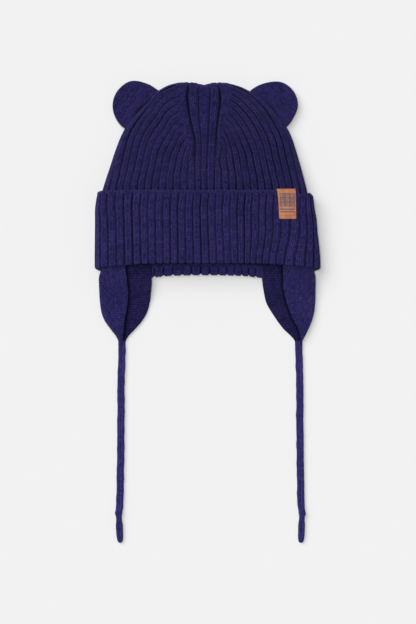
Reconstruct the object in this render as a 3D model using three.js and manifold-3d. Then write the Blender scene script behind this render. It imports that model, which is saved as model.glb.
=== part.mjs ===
import * as THREE from 'three';
import { mergeVertices } from 'three/addons/utils/BufferGeometryUtils.js';
import Module from 'manifold-3d';

// Child's rib-knit hat with round ears, a turned-up cuff, ear flaps and ties, lying flat on its back.
// Millimetres. +Y runs from the rim to the top of the crown and +Z up from the table at z = 0.
// x = 0, y = 0 is the middle of the hat without its ties.

const wasm = await Module();
wasm.setup();

// Fabric
const KNIT = 2.4; // ribbed wall, crest to inner face
const JERSEY = 2.2; // wall of the ear flaps
const RIB_GROOVE = 1.0; // depth of a groove between two ribs
const PLEAT_GROOVE = 1.4; // depth of the two deep grooves at the top of the front
const SEAT = 0.35; // clearance between neighbouring pieces
const REST = 0.2; // clearance of the crown's back above the table

// Flattened cross-section
const CROWN_EDGE = 5.5; // radius at which the crown turns from front to back
const PUFF = 7; // how far the front stands up in the middle
const CUFF_FLARE = 1.4; // how much further the cuff's top edge stands off the crown
const FLARE_FROM = -10; // y where the cuff starts to stand off
const CUFF_TOP = 18; // y of the cuff's top edge
const SETTLE = 35; // length over which the crown comes down to the table above the cuff
const SIDE_EASE = 0.3; // extra clearance of the cuff at the side edges
const TURN_SHARE = 0.07; // share of the way to the side that the quarter turn takes

// Crown
const SIDE_RIBS = 12.5; // ribs from a gathering point to the side edge
const SAMPLES_PER_RIB = 2; // a groove and a crest
const FAN_ROWS = 8; // rows around each side panel
const TUBE_ROWS = [0, 0.33, 0.67, 1]; // share of the way from the fan down to the rim
const GATHER_Y = 35.3; // height at which the side panels' ribs run together
const CROWN_LEFT = [
  { x: -88.0, y: 19.3 },
  { x: -84.8, y: 29.4 },
  { x: -80.5, y: 42.8 },
  { x: -75.8, y: 56.3 },
  { x: -70.8, y: 67.7 },
  { x: -63.5, y: 78.2 },
  { x: -48.9, y: 93.5 },
  { x: -41.9, y: 101.2 },
  { x: -33.5, y: 106.0 },
  { x: -25.1, y: 108.4 },
];
const CROWN_RIGHT = [
  { x: 82.7, y: 19.3 },
  { x: 78.4, y: 36.1 },
  { x: 74.5, y: 49.6 },
  { x: 70.1, y: 63.0 },
  { x: 65.4, y: 71.9 },
  { x: 58.1, y: 81.6 },
  { x: 49.1, y: 91.4 },
  { x: 38.6, y: 99.0 },
  { x: 28.2, y: 104.6 },
  { x: 16.3, y: 108.2 },
];

// Lines that run up the middle of the front and back: where each starts, where it ends at the top,
// how far it bows sideways on the way, and how deep its groove is at the top
const MIDDLE_LINES = [
  { name: 'left decrease', foot: -10.7, x: -25.1, y: 108.4, bow: -3.4, depth: 0.5 },
  { name: 'left pleat', foot: -10.7, x: -15.4, y: 109.0, bow: -2.9, depth: PLEAT_GROOVE },
  { name: 'left groove', foot: -5.7, x: -8.0, y: 108.0, bow: -1.0, depth: 1.1 },
  { name: 'right groove', foot: -0.8, x: 2.2, y: 108.2, bow: 0.8, depth: 1.1 },
  { name: 'right pleat', foot: 5.4, x: 7.6, y: 108.8, bow: 2.9, depth: PLEAT_GROOVE },
  { name: 'right decrease', foot: 5.4, x: 16.3, y: 108.2, bow: 4.6, depth: 0.5 },
];
const TOP_DENT = 1.4; // dip of the outline between the two middle grooves

// Cuff
const CUFF_RIBS = 31; // ribs across one face, side crest to side crest
const FOLD_HEIGHT = 4; // height of the rolled fold
const FOLD_ROUND = 0.9; // corner of the rolled fold
const RIM_LEDGE = 2.9; // depth over which the crown's lower edge is square
const SCALLOP = 0.7; // how far a groove cuts into the fold's lower edge
const CUFF_EDGES = [
  { y: 18.0, left: -92.6, right: 88.2 },
  { y: 12.5, left: -93.2, right: 89.0 },
  { y: 2.5, left: -94.6, right: 89.9 },
  { y: -7.5, left: -94.7, right: 91.8 },
  { y: -17.5, left: -94.8, right: 92.6 },
  { y: -28.0, left: -94.9, right: 94.2 },
  { y: -38.0, left: -95.0, right: 95.0 },
  { y: -48.0, left: -94.9, right: 95.1 },
];
const TOP_CORNER_FROM = 0.86; // share of the half width where the top edge starts to dip
const TOP_CORNER_DIP = { left: 0.8, right: 4.6 };

// Lower edge of the fold from the middle (share 0) to the side (share 1)
const RIM = [
  { share: 0, front: -43.4, back: -52.7 },
  { share: 0.25, front: -43.4, back: -53.2 },
  { share: 0.5, front: -43.8, back: -55.0 },
  { share: 0.75, front: -45.3, back: -54.4 },
  { share: 0.92, front: -46.8, back: -51.5 },
  { share: 1, front: -48.6, back: -48.6 },
];

// Sideways drift of the cuff's front ribs at its top, middle and fold; rib 0 is at the left side
const RIB_DRIFT = [
  { rib: 0, top: 0, middle: 0, fold: 0 },
  { rib: 1.5, top: -1.5, middle: 0, fold: 0 },
  { rib: 6.5, top: 2.2, middle: 1.8, fold: 2.1 },
  { rib: 11.5, top: 2.9, middle: 1.6, fold: 1.0 },
  { rib: 16.5, top: 2.2, middle: 0.4, fold: 1.3 },
  { rib: 20.5, top: 1.6, middle: -0.7, fold: -1.3 },
  { rib: 22.5, top: 1.6, middle: -0.9, fold: -4.4 },
  { rib: 24.5, top: 1.7, middle: -2.2, fold: -6.4 },
  { rib: 26.5, top: 0.8, middle: -2.1, fold: -6.4 },
  { rib: 28.5, top: -0.3, middle: 1.4, fold: -1.9 },
  { rib: 31, top: 0, middle: 0, fold: 0 },
];

// Ears
const EAR = {
  radius: 20.7, thickness: 4.8, edge: 1.4, height: 4.3, segments: 32,
  left: { x: -59.1, y: 89.4 },
  right: { x: 55.1, y: 89.4 },
};

// Ear flaps: each is a sheet folded lengthwise, its fold at the outer side.
// fold, front and back are the x of the fold, of the front half's edge and of the back half's edge.
const FLAP_FOLD_GAP = 1.6; // space between the two halves
const FLAP_RISE = { from: -80, to: -57 }; // y over which the back half climbs onto the rim
const FLAP_LIFT = { from: -74, to: -47 }; // y over which the front half climbs into the hat
const FLAP_LEFT = [
  { y: -33.0, fold: -87.2, front: -68.0, back: -48.5 },
  { y: -40.0, fold: -87.6, front: -68.5, back: -47.8 },
  { y: -47.0, fold: -88.6, front: -69.0, back: -47.0 },
  { y: -54.0, fold: -90.6, front: -68.2, back: -47.0 },
  { y: -65.5, fold: -91.2, front: -66.9, back: -47.5 },
  { y: -78.0, fold: -90.4, front: -67.5, back: -49.2 },
  { y: -85.0, fold: -89.2, front: -68.6, back: -51.4 },
  { y: -91.5, fold: -86.6, front: -69.8, back: -55.2 },
  { y: -98.0, fold: -82.0, front: -70.5, back: -60.8 },
  { y: -105.0, fold: -76.8, front: -71.2, back: -67.0 },
  { y: -110.6, fold: -75.4, front: -71.2, back: -68.6 },
];
const FLAP_RIGHT = [
  { y: -33.0, fold: 87.2, front: 62.6, back: 43.4 },
  { y: -40.0, fold: 87.8, front: 62.6, back: 43.0 },
  { y: -47.0, fold: 88.6, front: 62.8, back: 42.8 },
  { y: -54.0, fold: 90.1, front: 63.0, back: 43.2 },
  { y: -65.5, fold: 90.3, front: 63.8, back: 46.6 },
  { y: -78.0, fold: 90.0, front: 66.8, back: 49.8 },
  { y: -85.0, fold: 89.1, front: 69.2, back: 54.0 },
  { y: -91.5, fold: 87.3, front: 72.2, back: 58.3 },
  { y: -98.0, fold: 84.6, front: 75.8, back: 63.3 },
  { y: -105.0, fold: 81.1, front: 77.4, back: 70.3 },
  { y: -110.6, fold: 79.6, front: 77.0, back: 72.7 },
];

// Ties: flat knitted cords that lie on the table, each with a knotted, rolled end
const TIE = { width: 6.1, thickness: 3.6, sides: 8, steps: 24, liftOff: 0.1 };
const TIE_LEFT = [
  [-72.0, -111.0], [-72.2, -118.0], [-72.4, -127.0], [-72.8, -136.5], [-73.0, -145.5],
  [-73.0, -154.0], [-73.0, -162.5], [-73.05, -171.0], [-73.1, -179.5], [-73.15, -188.0],
  [-73.2, -196.5], [-73.3, -205.0], [-73.4, -213.5], [-73.55, -222.0], [-73.7, -230.5],
  [-73.9, -238.5], [-74.2, -246.5],
];
const TIE_RIGHT = [
  [76.2, -111.0], [76.3, -118.0], [76.7, -127.0], [77.0, -136.5], [77.1, -145.5],
  [77.15, -154.0], [77.2, -162.5], [77.2, -171.0], [77.2, -179.5], [77.3, -188.0],
  [77.4, -196.5], [77.5, -205.0], [77.6, -213.5], [77.7, -222.0], [77.8, -230.5],
  [78.0, -238.5], [78.3, -246.5],
];
// Tie ends, down from the tie: middle line, half width, thickness and depth of the slit between the rolls
const TIE_END_LEFT = [
  { y: -246.9, x: -74.2, half: 2.7, thick: 3.4, slit: 0.2 },
  { y: -250.2, x: -74.6, half: 2.9, thick: 4.4, slit: 0.4 },
  { y: -252.8, x: -75.0, half: 3.1, thick: 4.9, slit: 0.8 },
  { y: -255.6, x: -74.8, half: 2.5, thick: 4.2, slit: 0.4 },
  { y: -258.4, x: -74.6, half: 2.4, thick: 3.6, slit: 0.4 },
  { y: -262.5, x: -74.4, half: 2.9, thick: 3.8, slit: 0.9 },
  { y: -268.0, x: -74.2, half: 2.9, thick: 3.8, slit: 1.1 },
  { y: -273.0, x: -74.0, half: 2.4, thick: 3.4, slit: 0.8 },
  { y: -276.2, x: -73.8, half: 1.5, thick: 2.6, slit: 0.3 },
  { y: -277.8, x: -73.7, half: 0.6, thick: 1.6, slit: 0 },
];
const TIE_END_RIGHT = [
  { y: -246.9, x: 78.3, half: 2.7, thick: 3.4, slit: 0.2 },
  { y: -250.2, x: 78.7, half: 2.8, thick: 4.4, slit: 0.4 },
  { y: -253.2, x: 79.2, half: 3.0, thick: 4.9, slit: 0.8 },
  { y: -256.0, x: 79.0, half: 2.4, thick: 4.2, slit: 0.4 },
  { y: -258.8, x: 78.8, half: 2.4, thick: 3.6, slit: 0.4 },
  { y: -262.5, x: 78.7, half: 2.8, thick: 3.8, slit: 0.9 },
  { y: -268.0, x: 78.5, half: 2.8, thick: 3.8, slit: 1.1 },
  { y: -273.0, x: 78.3, half: 2.3, thick: 3.4, slit: 0.8 },
  { y: -276.2, x: 78.2, half: 1.5, thick: 2.6, slit: 0.3 },
  { y: -277.8, x: 78.2, half: 0.6, thick: 1.6, slit: 0 },
];

// Label folded over the cuff's top edge
const LABEL = {
  thickness: 0.8, tuck: 5, bottom: -5.9,
  topLeft: 57.4, topRight: 73.2, footLeft: 60.3, footRight: 74.0,
};

const FRONT = 1;
const BACK = -1;
const LEFT = -1;
const RIGHT = 1;

const KNIT_MATERIAL = new THREE.MeshStandardMaterial({ color: 0x2f2a66, roughness: 0.95, metalness: 0 });
const JERSEY_MATERIAL = new THREE.MeshStandardMaterial({ color: 0x2b2760, roughness: 0.95, metalness: 0 });
const TIE_MATERIAL = new THREE.MeshStandardMaterial({ color: 0x312c69, roughness: 0.95, metalness: 0 });
const LEATHER_MATERIAL = new THREE.MeshStandardMaterial({ color: 0xb9683f, roughness: 0.6, metalness: 0 });

// Helpers

function mix(a, b, t) {
  return a + (b - a) * t;
}

function smooth(value, from, to) {
  const t = THREE.MathUtils.clamp((value - from) / (to - from), 0, 1);
  return t * t * (3 - 2 * t);
}

// Value of one column of a table at a place between its rows
function lookup(table, key, value, column) {
  const rising = table[0][key] < table[table.length - 1][key];
  for (let i = 1; i < table.length; i++) {
    const before = table[i - 1];
    const after = table[i];
    const last = i === table.length - 1;
    if (last || (rising ? value <= after[key] : value >= after[key])) {
      const t = THREE.MathUtils.clamp((value - before[key]) / (after[key] - before[key]), 0, 1);
      return mix(before[column], after[column], t);
    }
  }
  return table[0][column];
}

// Collects the triangles of a closed body
class Body {
  constructor() {
    this.positions = [];
  }

  triangle(a, b, c) {
    this.positions.push(...a, ...b, ...c);
  }

  quad(a, b, c, d) {
    this.triangle(a, b, c);
    this.triangle(a, c, d);
  }

  // A sheet of points given by rows, faces turned over where flip is set
  sheet(rows, flip) {
    for (let i = 0; i + 1 < rows.length; i++) {
      for (let j = 0; j + 1 < rows[i].length; j++) {
        const corners = [rows[i][j], rows[i + 1][j], rows[i + 1][j + 1], rows[i][j + 1]];
        this.quad(...(flip ? corners.reverse() : corners));
      }
    }
  }

  geometry() {
    const soup = new THREE.BufferGeometry();
    soup.setAttribute('position', new THREE.Float32BufferAttribute(this.positions, 3));
    const merged = mergeVertices(soup, 1e-3);
    const index = merged.index.array;
    const kept = [];
    for (let i = 0; i < index.length; i += 3) {
      const [a, b, c] = [index[i], index[i + 1], index[i + 2]];
      if (a !== b && b !== c && c !== a) kept.push(a, b, c);
    }
    merged.setIndex(kept);
    return merged;
  }
}

// A closed tube of rings with flat ends; each ring is a list of points in the same order
function loft(rings, closedAlong = false) {
  const body = new Body();
  const count = closedAlong ? rings.length : rings.length - 1;
  for (let i = 0; i < count; i++) {
    const ring = rings[i];
    const next = rings[(i + 1) % rings.length];
    for (let j = 0; j < ring.length; j++) {
      const k = (j + 1) % ring.length;
      body.quad(ring[j], ring[k], next[k], next[j]);
    }
  }
  if (!closedAlong) {
    capRing(body, rings[0], true);
    capRing(body, rings[rings.length - 1], false);
  }
  return body.geometry();
}

// Fills a flat ring with triangles; backwards turns them against the ring's own direction
function capRing(body, ring, backwards) {
  const outline = ring.map((p) => new THREE.Vector2(p[0], p[2]));
  const ringTurn = Math.sign(THREE.ShapeUtils.area(outline));
  for (const corners of THREE.ShapeUtils.triangulateShape(outline, [])) {
    const turn = Math.sign(THREE.ShapeUtils.area(corners.map((i) => outline[i])));
    const ordered = (turn === ringTurn) === backwards ? [...corners].reverse() : corners;
    body.triangle(...ordered.map((i) => ring[i]));
  }
}

function toSolid(geometry) {
  const solid = new wasm.Manifold(new wasm.Mesh({
    numProp: 3,
    vertProperties: new Float32Array(geometry.attributes.position.array),
    triVerts: new Uint32Array(geometry.index.array),
  }));
  return solid;
}

function toGeometry(solid) {
  const mesh = solid.getMesh();
  const geometry = new THREE.BufferGeometry();
  geometry.setAttribute('position', new THREE.Float32BufferAttribute(mesh.vertProperties, 3));
  geometry.setIndex(Array.from(mesh.triVerts));
  return geometry;
}

function piece(name, geometry, material) {
  geometry.computeVertexNormals();
  const mesh = new THREE.Mesh(geometry, material);
  mesh.name = name;
  return mesh;
}

// Cross-section shared by the crown and the cuff

// Space between the crown and the cuff
function cuffGap(y) {
  return SEAT + CUFF_FLARE * THREE.MathUtils.clamp((y - FLARE_FROM) / (CUFF_TOP - FLARE_FROM), 0, 1);
}

// Height at which the crown's side edge runs
function level(y) {
  const inCuff = CROWN_EDGE + KNIT + cuffGap(y);
  return mix(inCuff, CROWN_EDGE + REST, smooth(y, CUFF_TOP, CUFF_TOP + SETTLE));
}

// How far the front stands up at a share of the flat run from the middle to the side
function puffAt(share) {
  return PUFF * (1 - THREE.MathUtils.clamp(share, 0, 1) ** 2);
}

// A place along a flattened wall: the flat run from the middle, then the quarter turn at the side.
// u is the share of the wall's length from the middle to the side edge.
function turnedEdge(u, reach, radius) {
  const run = reach - radius;
  const s = u * (run + radius * Math.PI / 2);
  const flat = Math.min(s, run);
  return { flat, run, angle: (s - flat) / radius };
}

// How far out a place is, from 0 in the middle to 1 at the side edge
function outward({ flat, run, angle }) {
  return (1 - TURN_SHARE) * THREE.MathUtils.clamp(flat / run, 0, 1) + TURN_SHARE * Math.sin(angle);
}

const GATHER = { [LEFT]: MIDDLE_LINES[0].foot, [RIGHT]: MIDDLE_LINES[5].foot };

function sideName(side) {
  return side === LEFT ? 'left' : 'right';
}

function rimY(face, share) {
  return lookup(RIM, 'share', share, face === FRONT ? 'front' : 'back');
}

function cuffEdgeX(side, y) {
  return lookup(CUFF_EDGES, 'y', y, sideName(side));
}

// Crown

function crownEdgeX(side, y) {
  const start = (side === LEFT ? CROWN_LEFT : CROWN_RIGHT)[0];
  const freeFrom = CUFF_EDGES[2].y;
  const inside = (at) => cuffEdgeX(side, at) - side * (KNIT + cuffGap(at) + SIDE_EASE);
  if (y <= freeFrom) return inside(y);
  return mix(inside(freeFrom), start.x, (y - freeFrom) / (start.y - freeFrom));
}

// A row of stitches that runs straight from a gathering point to the outline
function rayRow(centre, edge, bow) {
  return {
    reach: centre.distanceTo(edge),
    plan: (share) => [
      mix(centre.x, edge.x, share) + bow * Math.sin(Math.PI * share ** 3),
      mix(centre.y, edge.y, share),
    ],
  };
}

// A row of the tube below the gathering point; s is 0 at the fan and 1 at the rim.
// share is the way out to the side in plan, sideways the same along the wall.
function tubeRow(side, face, s, rimDrop) {
  const start = (side === LEFT ? CROWN_LEFT : CROWN_RIGHT)[0];
  const rimAt = (share) => rimY(face, share) + FOLD_HEIGHT + SEAT - rimDrop;
  const edgeY = mix(start.y, rimAt(1), s);
  const edgeX = crownEdgeX(side, edgeY);
  const fullReach = new THREE.Vector2(start.x - GATHER[side], start.y - GATHER_Y).length();
  return {
    reach: mix(fullReach, Math.abs(edgeX - GATHER[side]), Math.min(1, 3 * s)),
    plan: (share, sideways) => [
      mix(GATHER[side], edgeX, share),
      mix(mix(GATHER_Y, start.y, sideways), rimAt(sideways), s),
    ],
  };
}

function crownPoint(row, u, face, inset, groove) {
  const turn = turnedEdge(u, row.reach, CROWN_EDGE);
  const radius = CROWN_EDGE - inset - groove;
  const [x, y] = row.plan((turn.flat + radius * Math.sin(turn.angle)) / row.reach, outward(turn));
  const puff = face === FRONT ? puffAt(turn.flat / turn.run) : 0;
  return [x, y, level(y) + face * radius * Math.cos(turn.angle) + puff];
}

// Depth of the groove at a place counted in ribs
function ribGroove(ribs) {
  const fromCrest = Math.abs(ribs - Math.floor(ribs) - 0.5) * 2;
  return RIB_GROOVE * fromCrest;
}

function fanPoints(table) {
  const curve = new THREE.SplineCurve(table.map((p) => new THREE.Vector2(p.x, p.y)));
  return curve.getSpacedPoints(FAN_ROWS);
}

// Rows of one side panel, from the rim up to its decrease line
function sideRows(side, face, rimDrop) {
  const table = side === LEFT ? CROWN_LEFT : CROWN_RIGHT;
  const line = MIDDLE_LINES[side === LEFT ? 0 : 5];
  const centre = new THREE.Vector2(GATHER[side], GATHER_Y);
  const byRib = (u) => ribGroove(u * SIDE_RIBS);
  const rows = TUBE_ROWS.slice(1).reverse().map((s) => {
    return { ...tubeRow(side, face, s, rimDrop), groove: byRib };
  });
  fanPoints(table).forEach((edge, i) => {
    const share = i / FAN_ROWS;
    const groove = i < FAN_ROWS ? byRib : (u) => mix(RIB_GROOVE, line.depth, Math.min(1, u * 4));
    rows.push({ ...rayRow(centre, edge, line.bow * share ** 2), groove });
  });
  return rows;
}

// Rows between two neighbouring middle lines, the last line included where it isn't a side panel's own
function stripRows(before, after, withCrest) {
  const rows = [];
  const isGather = before.foot === after.foot;
  if (withCrest) {
    const dent = before.name === 'left groove' ? TOP_DENT : 0;
    rows.push({
      ...rayRow(
        new THREE.Vector2(mix(before.foot, after.foot, 0.5), GATHER_Y),
        new THREE.Vector2(mix(before.x, after.x, 0.5), mix(before.y, after.y, 0.5) - dent),
        mix(before.bow, after.bow, 0.5),
      ),
      groove: (u) => (isGather ? Math.max(0, RIB_GROOVE * (1 - u * 6)) : 0),
    });
  }
  if (after !== MIDDLE_LINES[5]) {
    rows.push({
      ...rayRow(new THREE.Vector2(after.foot, GATHER_Y), new THREE.Vector2(after.x, after.y), after.bow),
      groove: (u) => mix(RIB_GROOVE, after.depth, smooth(u, 0.2, 0.7)),
    });
  }
  return rows;
}

// Points across the middle block below the gathering points, at one share of the way down to the rim
function blockRow(face, s, { inset, ribbed, rimDrop }, grooved = ribbed) {
  const feet = [];
  for (let i = 1; i < 5; i++) {
    const crest = mix(MIDDLE_LINES[i - 1].foot, MIDDLE_LINES[i].foot, 0.5);
    if (i > 1 && ribbed) feet.push({ x: crest, groove: 0 });
    feet.push({ x: MIDDLE_LINES[i].foot, groove: grooved ? RIB_GROOVE : 0 });
  }
  const y = mix(GATHER_Y, rimY(face, 0) + FOLD_HEIGHT + SEAT - rimDrop, s);
  const puff = face === FRONT ? PUFF : 0;
  return feet.map((foot) => [foot.x, y, level(y) + face * (CROWN_EDGE - inset - foot.groove) + puff]);
}

// The closed bag of the crown, drawn in by inset all round; ribbed sets whether it carries its grooves
function crownBag(shape) {
  const { inset, columns, ribbed, rimDrop } = shape;
  const body = new Body();
  const rims = {};
  for (const face of [FRONT, BACK]) {
    const rows = sideRows(LEFT, face, rimDrop);
    for (let i = 1; i < MIDDLE_LINES.length; i++) {
      rows.push(...stripRows(MIDDLE_LINES[i - 1], MIDDLE_LINES[i], ribbed));
    }
    rows.push(...sideRows(RIGHT, face, rimDrop).reverse());
    const points = (row, deeper) => columns.map((u) => {
      return crownPoint(row, u, face, inset + deeper, ribbed && deeper === 0 ? row.groove(u) : 0);
    });
    const rim = (deeper) => [
      ...points(rows[0], deeper).reverse(),
      ...blockRow(face, 1, { ...shape, inset: inset + deeper }, ribbed && deeper === 0).slice(1, -1),
      ...points(rows[rows.length - 1], deeper),
    ];
    body.sheet(rows.map((row) => points(row, 0)), face === BACK);
    body.sheet(TUBE_ROWS.map((s) => blockRow(face, s, shape)), face === BACK);
    rims[face] = [rim(0), rim(RIM_LEDGE)];
  }
  // The wall's lower edge is square, so the cap steps in before it runs from front to back
  body.sheet([rims[FRONT][0], rims[FRONT][1], rims[BACK][1], rims[BACK][0]], false);
  return body.geometry();
}

function ribColumns() {
  const count = SIDE_RIBS * SAMPLES_PER_RIB;
  return Array.from({ length: count + 1 }, (_, i) => i / count);
}

const PLAIN_COLUMNS = [0, 0.3, 0.6, 0.8, 0.89, 0.93, 0.965, 1];

function makeCrown() {
  const outer = toSolid(crownBag({ inset: 0, columns: ribColumns(), ribbed: true, rimDrop: 0 }));
  const hollow = toSolid(crownBag({ inset: KNIT, columns: PLAIN_COLUMNS, ribbed: false, rimDrop: 4 }));
  return piece('crown', toGeometry(outer.subtract(hollow)), KNIT_MATERIAL);
}

// Cuff

// Height of the cuff's top edge at a share of the half width
function cuffTopY(side, share) {
  return CUFF_TOP - TOP_CORNER_DIP[sideName(side)] * smooth(share, TOP_CORNER_FROM, 1);
}

// Where a rib number lies on the cuff at a height: its side, its flat run and its turn
function cuffTurn(rib, y, face) {
  const radius = level(Math.min(y, CUFF_TOP));
  const reach = { [LEFT]: GATHER[LEFT] - cuffEdgeX(LEFT, y), [RIGHT]: cuffEdgeX(RIGHT, y) - GATHER[RIGHT] };
  const length = (side) => reach[side] - radius + radius * Math.PI / 2;
  const middle = GATHER[RIGHT] - GATHER[LEFT];
  const s = rib / CUFF_RIBS * (length(LEFT) + middle + length(RIGHT));
  const side = s < length(LEFT) + middle / 2 ? LEFT : RIGHT;
  const fromMiddle = side === LEFT ? length(LEFT) - s : s - length(LEFT) - middle;
  const turn = fromMiddle > 0
    ? turnedEdge(fromMiddle / length(side), reach[side], radius)
    : { flat: fromMiddle, run: reach[side] - radius, angle: 0 };
  if (face === FRONT) turn.flat += side * ribDrift(rib, y) * Math.cos(turn.angle);
  return { ...turn, radius, toward: side };
}

// A place on the cuff: rib number, height and depth below the outer crests
function cuffPoint(face, rib, y, depth) {
  const { flat, run, angle, radius, toward } = cuffTurn(rib, y, face);
  const x = GATHER[toward] + toward * (flat + (radius - depth) * Math.sin(angle));
  const puff = face === FRONT ? puffAt(flat / run) : 0;
  return [x, y, radius + face * (radius - depth) * Math.cos(angle) + puff];
}

function ribDrift(rib, y) {
  const columns = ['top', 'middle', 'fold'];
  const [top, middle, fold] = columns.map((column) => lookup(RIB_DRIFT, 'rib', rib, column));
  const middleY = (CUFF_TOP + RIM[0].front) / 2;
  return y > middleY
    ? mix(middle, top, (y - middleY) / (CUFF_TOP - middleY))
    : mix(middle, fold, (middleY - y) / (middleY - RIM[0].front));
}

// The J-shaped section of the cuff at one rib position, from the inner top edge over the outside to the fold
function cuffSection(face, rib, groove) {
  const topTurn = cuffTurn(rib, CUFF_TOP, face);
  const top = cuffTopY(topTurn.toward, outward(topTurn));
  const foot = rimY(face, outward(cuffTurn(rib, RIM[0].front, face)));
  const scallop = groove > 0 ? SCALLOP : 0;
  const block = 2 * KNIT + SEAT;
  return [
    { y: top - 0.6, depth: KNIT },
    { y: top, depth: KNIT / 2 },
    { y: top - 1.5, depth: groove },
    { y: mix(top, foot, 0.35), depth: groove },
    { y: mix(top, foot, 0.7), depth: groove },
    { y: foot + 3, depth: groove },
    { y: foot + scallop, depth: FOLD_ROUND + groove / 2 },
    { y: foot + scallop, depth: block - FOLD_ROUND },
    { y: foot + FOLD_HEIGHT, depth: block },
    { y: foot + FOLD_HEIGHT, depth: KNIT },
    { y: mix(top, foot, 0.4), depth: KNIT },
  ].map((spot) => cuffPoint(face, rib, spot.y, spot.depth));
}

function makeCuff() {
  const offsets = [-1 / 3, 0, 1 / 3]; // a crest's left corner, middle groove and next corner, around a groove
  const rings = [];
  const addFace = (face) => {
    for (let i = 0; i < CUFF_RIBS; i++) {
      for (const offset of offsets) {
        const rib = i + 0.5 + offset * 0.9;
        rings.push(cuffSection(face, face === FRONT ? rib : CUFF_RIBS - rib, offset === 0 ? RIB_GROOVE : 0));
      }
    }
  };
  addFace(FRONT);
  addFace(BACK);
  return piece('cuff', loft(rings, true), KNIT_MATERIAL);
}

// Ears

function makeEar(name, centre) {
  const { radius, thickness, edge, height, segments } = EAR;
  const half = thickness / 2;
  const profile = [
    [0, -half * 0.8], [radius * 0.7, -half * 0.9], [radius - edge, -half], [radius - 0.4, -half * 0.6],
    [radius, 0],
    [radius - 0.4, half * 0.6], [radius - edge, half], [radius * 0.7, half * 0.9], [0, half * 0.8],
  ].map(([r, z]) => new THREE.Vector2(r, z));
  const disc = new THREE.LatheGeometry(profile, segments);
  disc.rotateX(Math.PI / 2);
  disc.translate(centre.x, centre.y, height);
  disc.deleteAttribute('normal');
  disc.deleteAttribute('uv');
  const body = new Body();
  const flat = disc.toNonIndexed().attributes.position;
  for (let i = 0; i < flat.count; i += 3) {
    const corner = (k) => [flat.getX(i + k), flat.getY(i + k), flat.getZ(i + k)];
    body.triangle(corner(0), corner(1), corner(2));
  }
  const envelope = toSolid(crownBag({ inset: -SEAT, columns: PLAIN_COLUMNS, ribbed: false, rimDrop: 0 }));
  return piece(name, toGeometry(toSolid(body.geometry()).subtract(envelope)), JERSEY_MATERIAL);
}

// Ear flaps

// Floor and roof of the hat's hollow at a place near its side
function hollowAt(side, x, y) {
  const edgeX = crownEdgeX(side, Math.min(y, RIM[0].front));
  const run = Math.abs(edgeX - GATHER[side]) - CROWN_EDGE;
  const across = Math.abs(x - GATHER[side]);
  const radius = CROWN_EDGE - KNIT;
  const past = THREE.MathUtils.clamp((across - run) / radius, 0, 1);
  const lift = radius * Math.sqrt(1 - past * past);
  const middle = level(RIM[0].front);
  return { floor: middle - lift, roof: middle + lift + puffAt(across / run) };
}

// The folded sheet's middle line at one row, from the back half's edge round the fold to the front half's
function flapMiddleLine(side, row) {
  const rise = smooth(row.y, FLAP_RISE.from, FLAP_RISE.to);
  const lift = smooth(row.y, FLAP_LIFT.from, FLAP_LIFT.to);
  const half = JERSEY / 2;
  const lower = (x) => mix(REST, hollowAt(side, x, row.y).floor + SEAT, rise) + half;
  const inside = (x) => hollowAt(side, x, row.y).roof - SEAT - JERSEY;
  const upper = (x) => mix(REST + JERSEY + FLAP_FOLD_GAP, inside(x), lift) + half;
  const turnRadius = Math.min((JERSEY + FLAP_FOLD_GAP) / 2, Math.abs(row.fold - row.front) * 0.4);
  const turnX = row.fold - side * (half + turnRadius);
  const line = [];
  for (const share of [0, 0.25, 0.5, 0.75, 1]) {
    const x = mix(row.back, turnX, share);
    line.push([x, lower(x)]);
  }
  const low = lower(turnX);
  const high = upper(turnX);
  for (const angle of [-45, 0, 45]) {
    const radians = THREE.MathUtils.degToRad(angle);
    line.push([turnX + side * turnRadius * Math.cos(radians), mix(low, high, 0.5 + 0.5 * Math.sin(radians))]);
  }
  for (const share of [0, 0.33, 0.67, 1]) {
    const x = mix(turnX, row.front, share);
    line.push([x, upper(x)]);
  }
  return line;
}

// Gives a line in a section its thickness, as a closed ring
function thicken(line, y, thickness) {
  const sides = [[], []];
  line.forEach((spot, i) => {
    const before = line[Math.max(0, i - 1)];
    const after = line[Math.min(line.length - 1, i + 1)];
    const along = new THREE.Vector2(after[0] - before[0], after[1] - before[1]).normalize();
    for (const k of [0, 1]) {
      const shift = (k === 0 ? 0.5 : -0.5) * thickness;
      sides[k].push([spot[0] - along.y * shift, y, spot[1] + along.x * shift]);
    }
  });
  return [...sides[0], ...sides[1].reverse()];
}

function makeFlap(name, side, table) {
  const rings = table.map((row) => thicken(flapMiddleLine(side, row), row.y, JERSEY).reverse());
  return piece(name, loft(rings), JERSEY_MATERIAL);
}

// Ties

function makeTie(name, route) {
  const middle = TIE.liftOff + TIE.thickness / 2;
  const path = new THREE.CatmullRomCurve3(route.map(([x, y]) => new THREE.Vector3(x, y, middle)));
  const outline = new THREE.Shape();
  for (let i = 0; i < TIE.sides; i++) {
    const angle = (i + 0.5) / TIE.sides * 2 * Math.PI;
    const across = TIE.width / 2 * Math.cos(angle) / Math.cos(Math.PI / TIE.sides);
    const up = TIE.thickness / 2 * Math.sin(angle) / Math.cos(Math.PI / TIE.sides);
    if (i === 0) outline.moveTo(up, across);
    else outline.lineTo(up, across);
  }
  const tube = new THREE.ExtrudeGeometry(outline, { steps: TIE.steps, extrudePath: path });
  tube.deleteAttribute('normal');
  tube.deleteAttribute('uv');
  return piece(name, mergeVertices(tube, 1e-3), TIE_MATERIAL);
}

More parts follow.
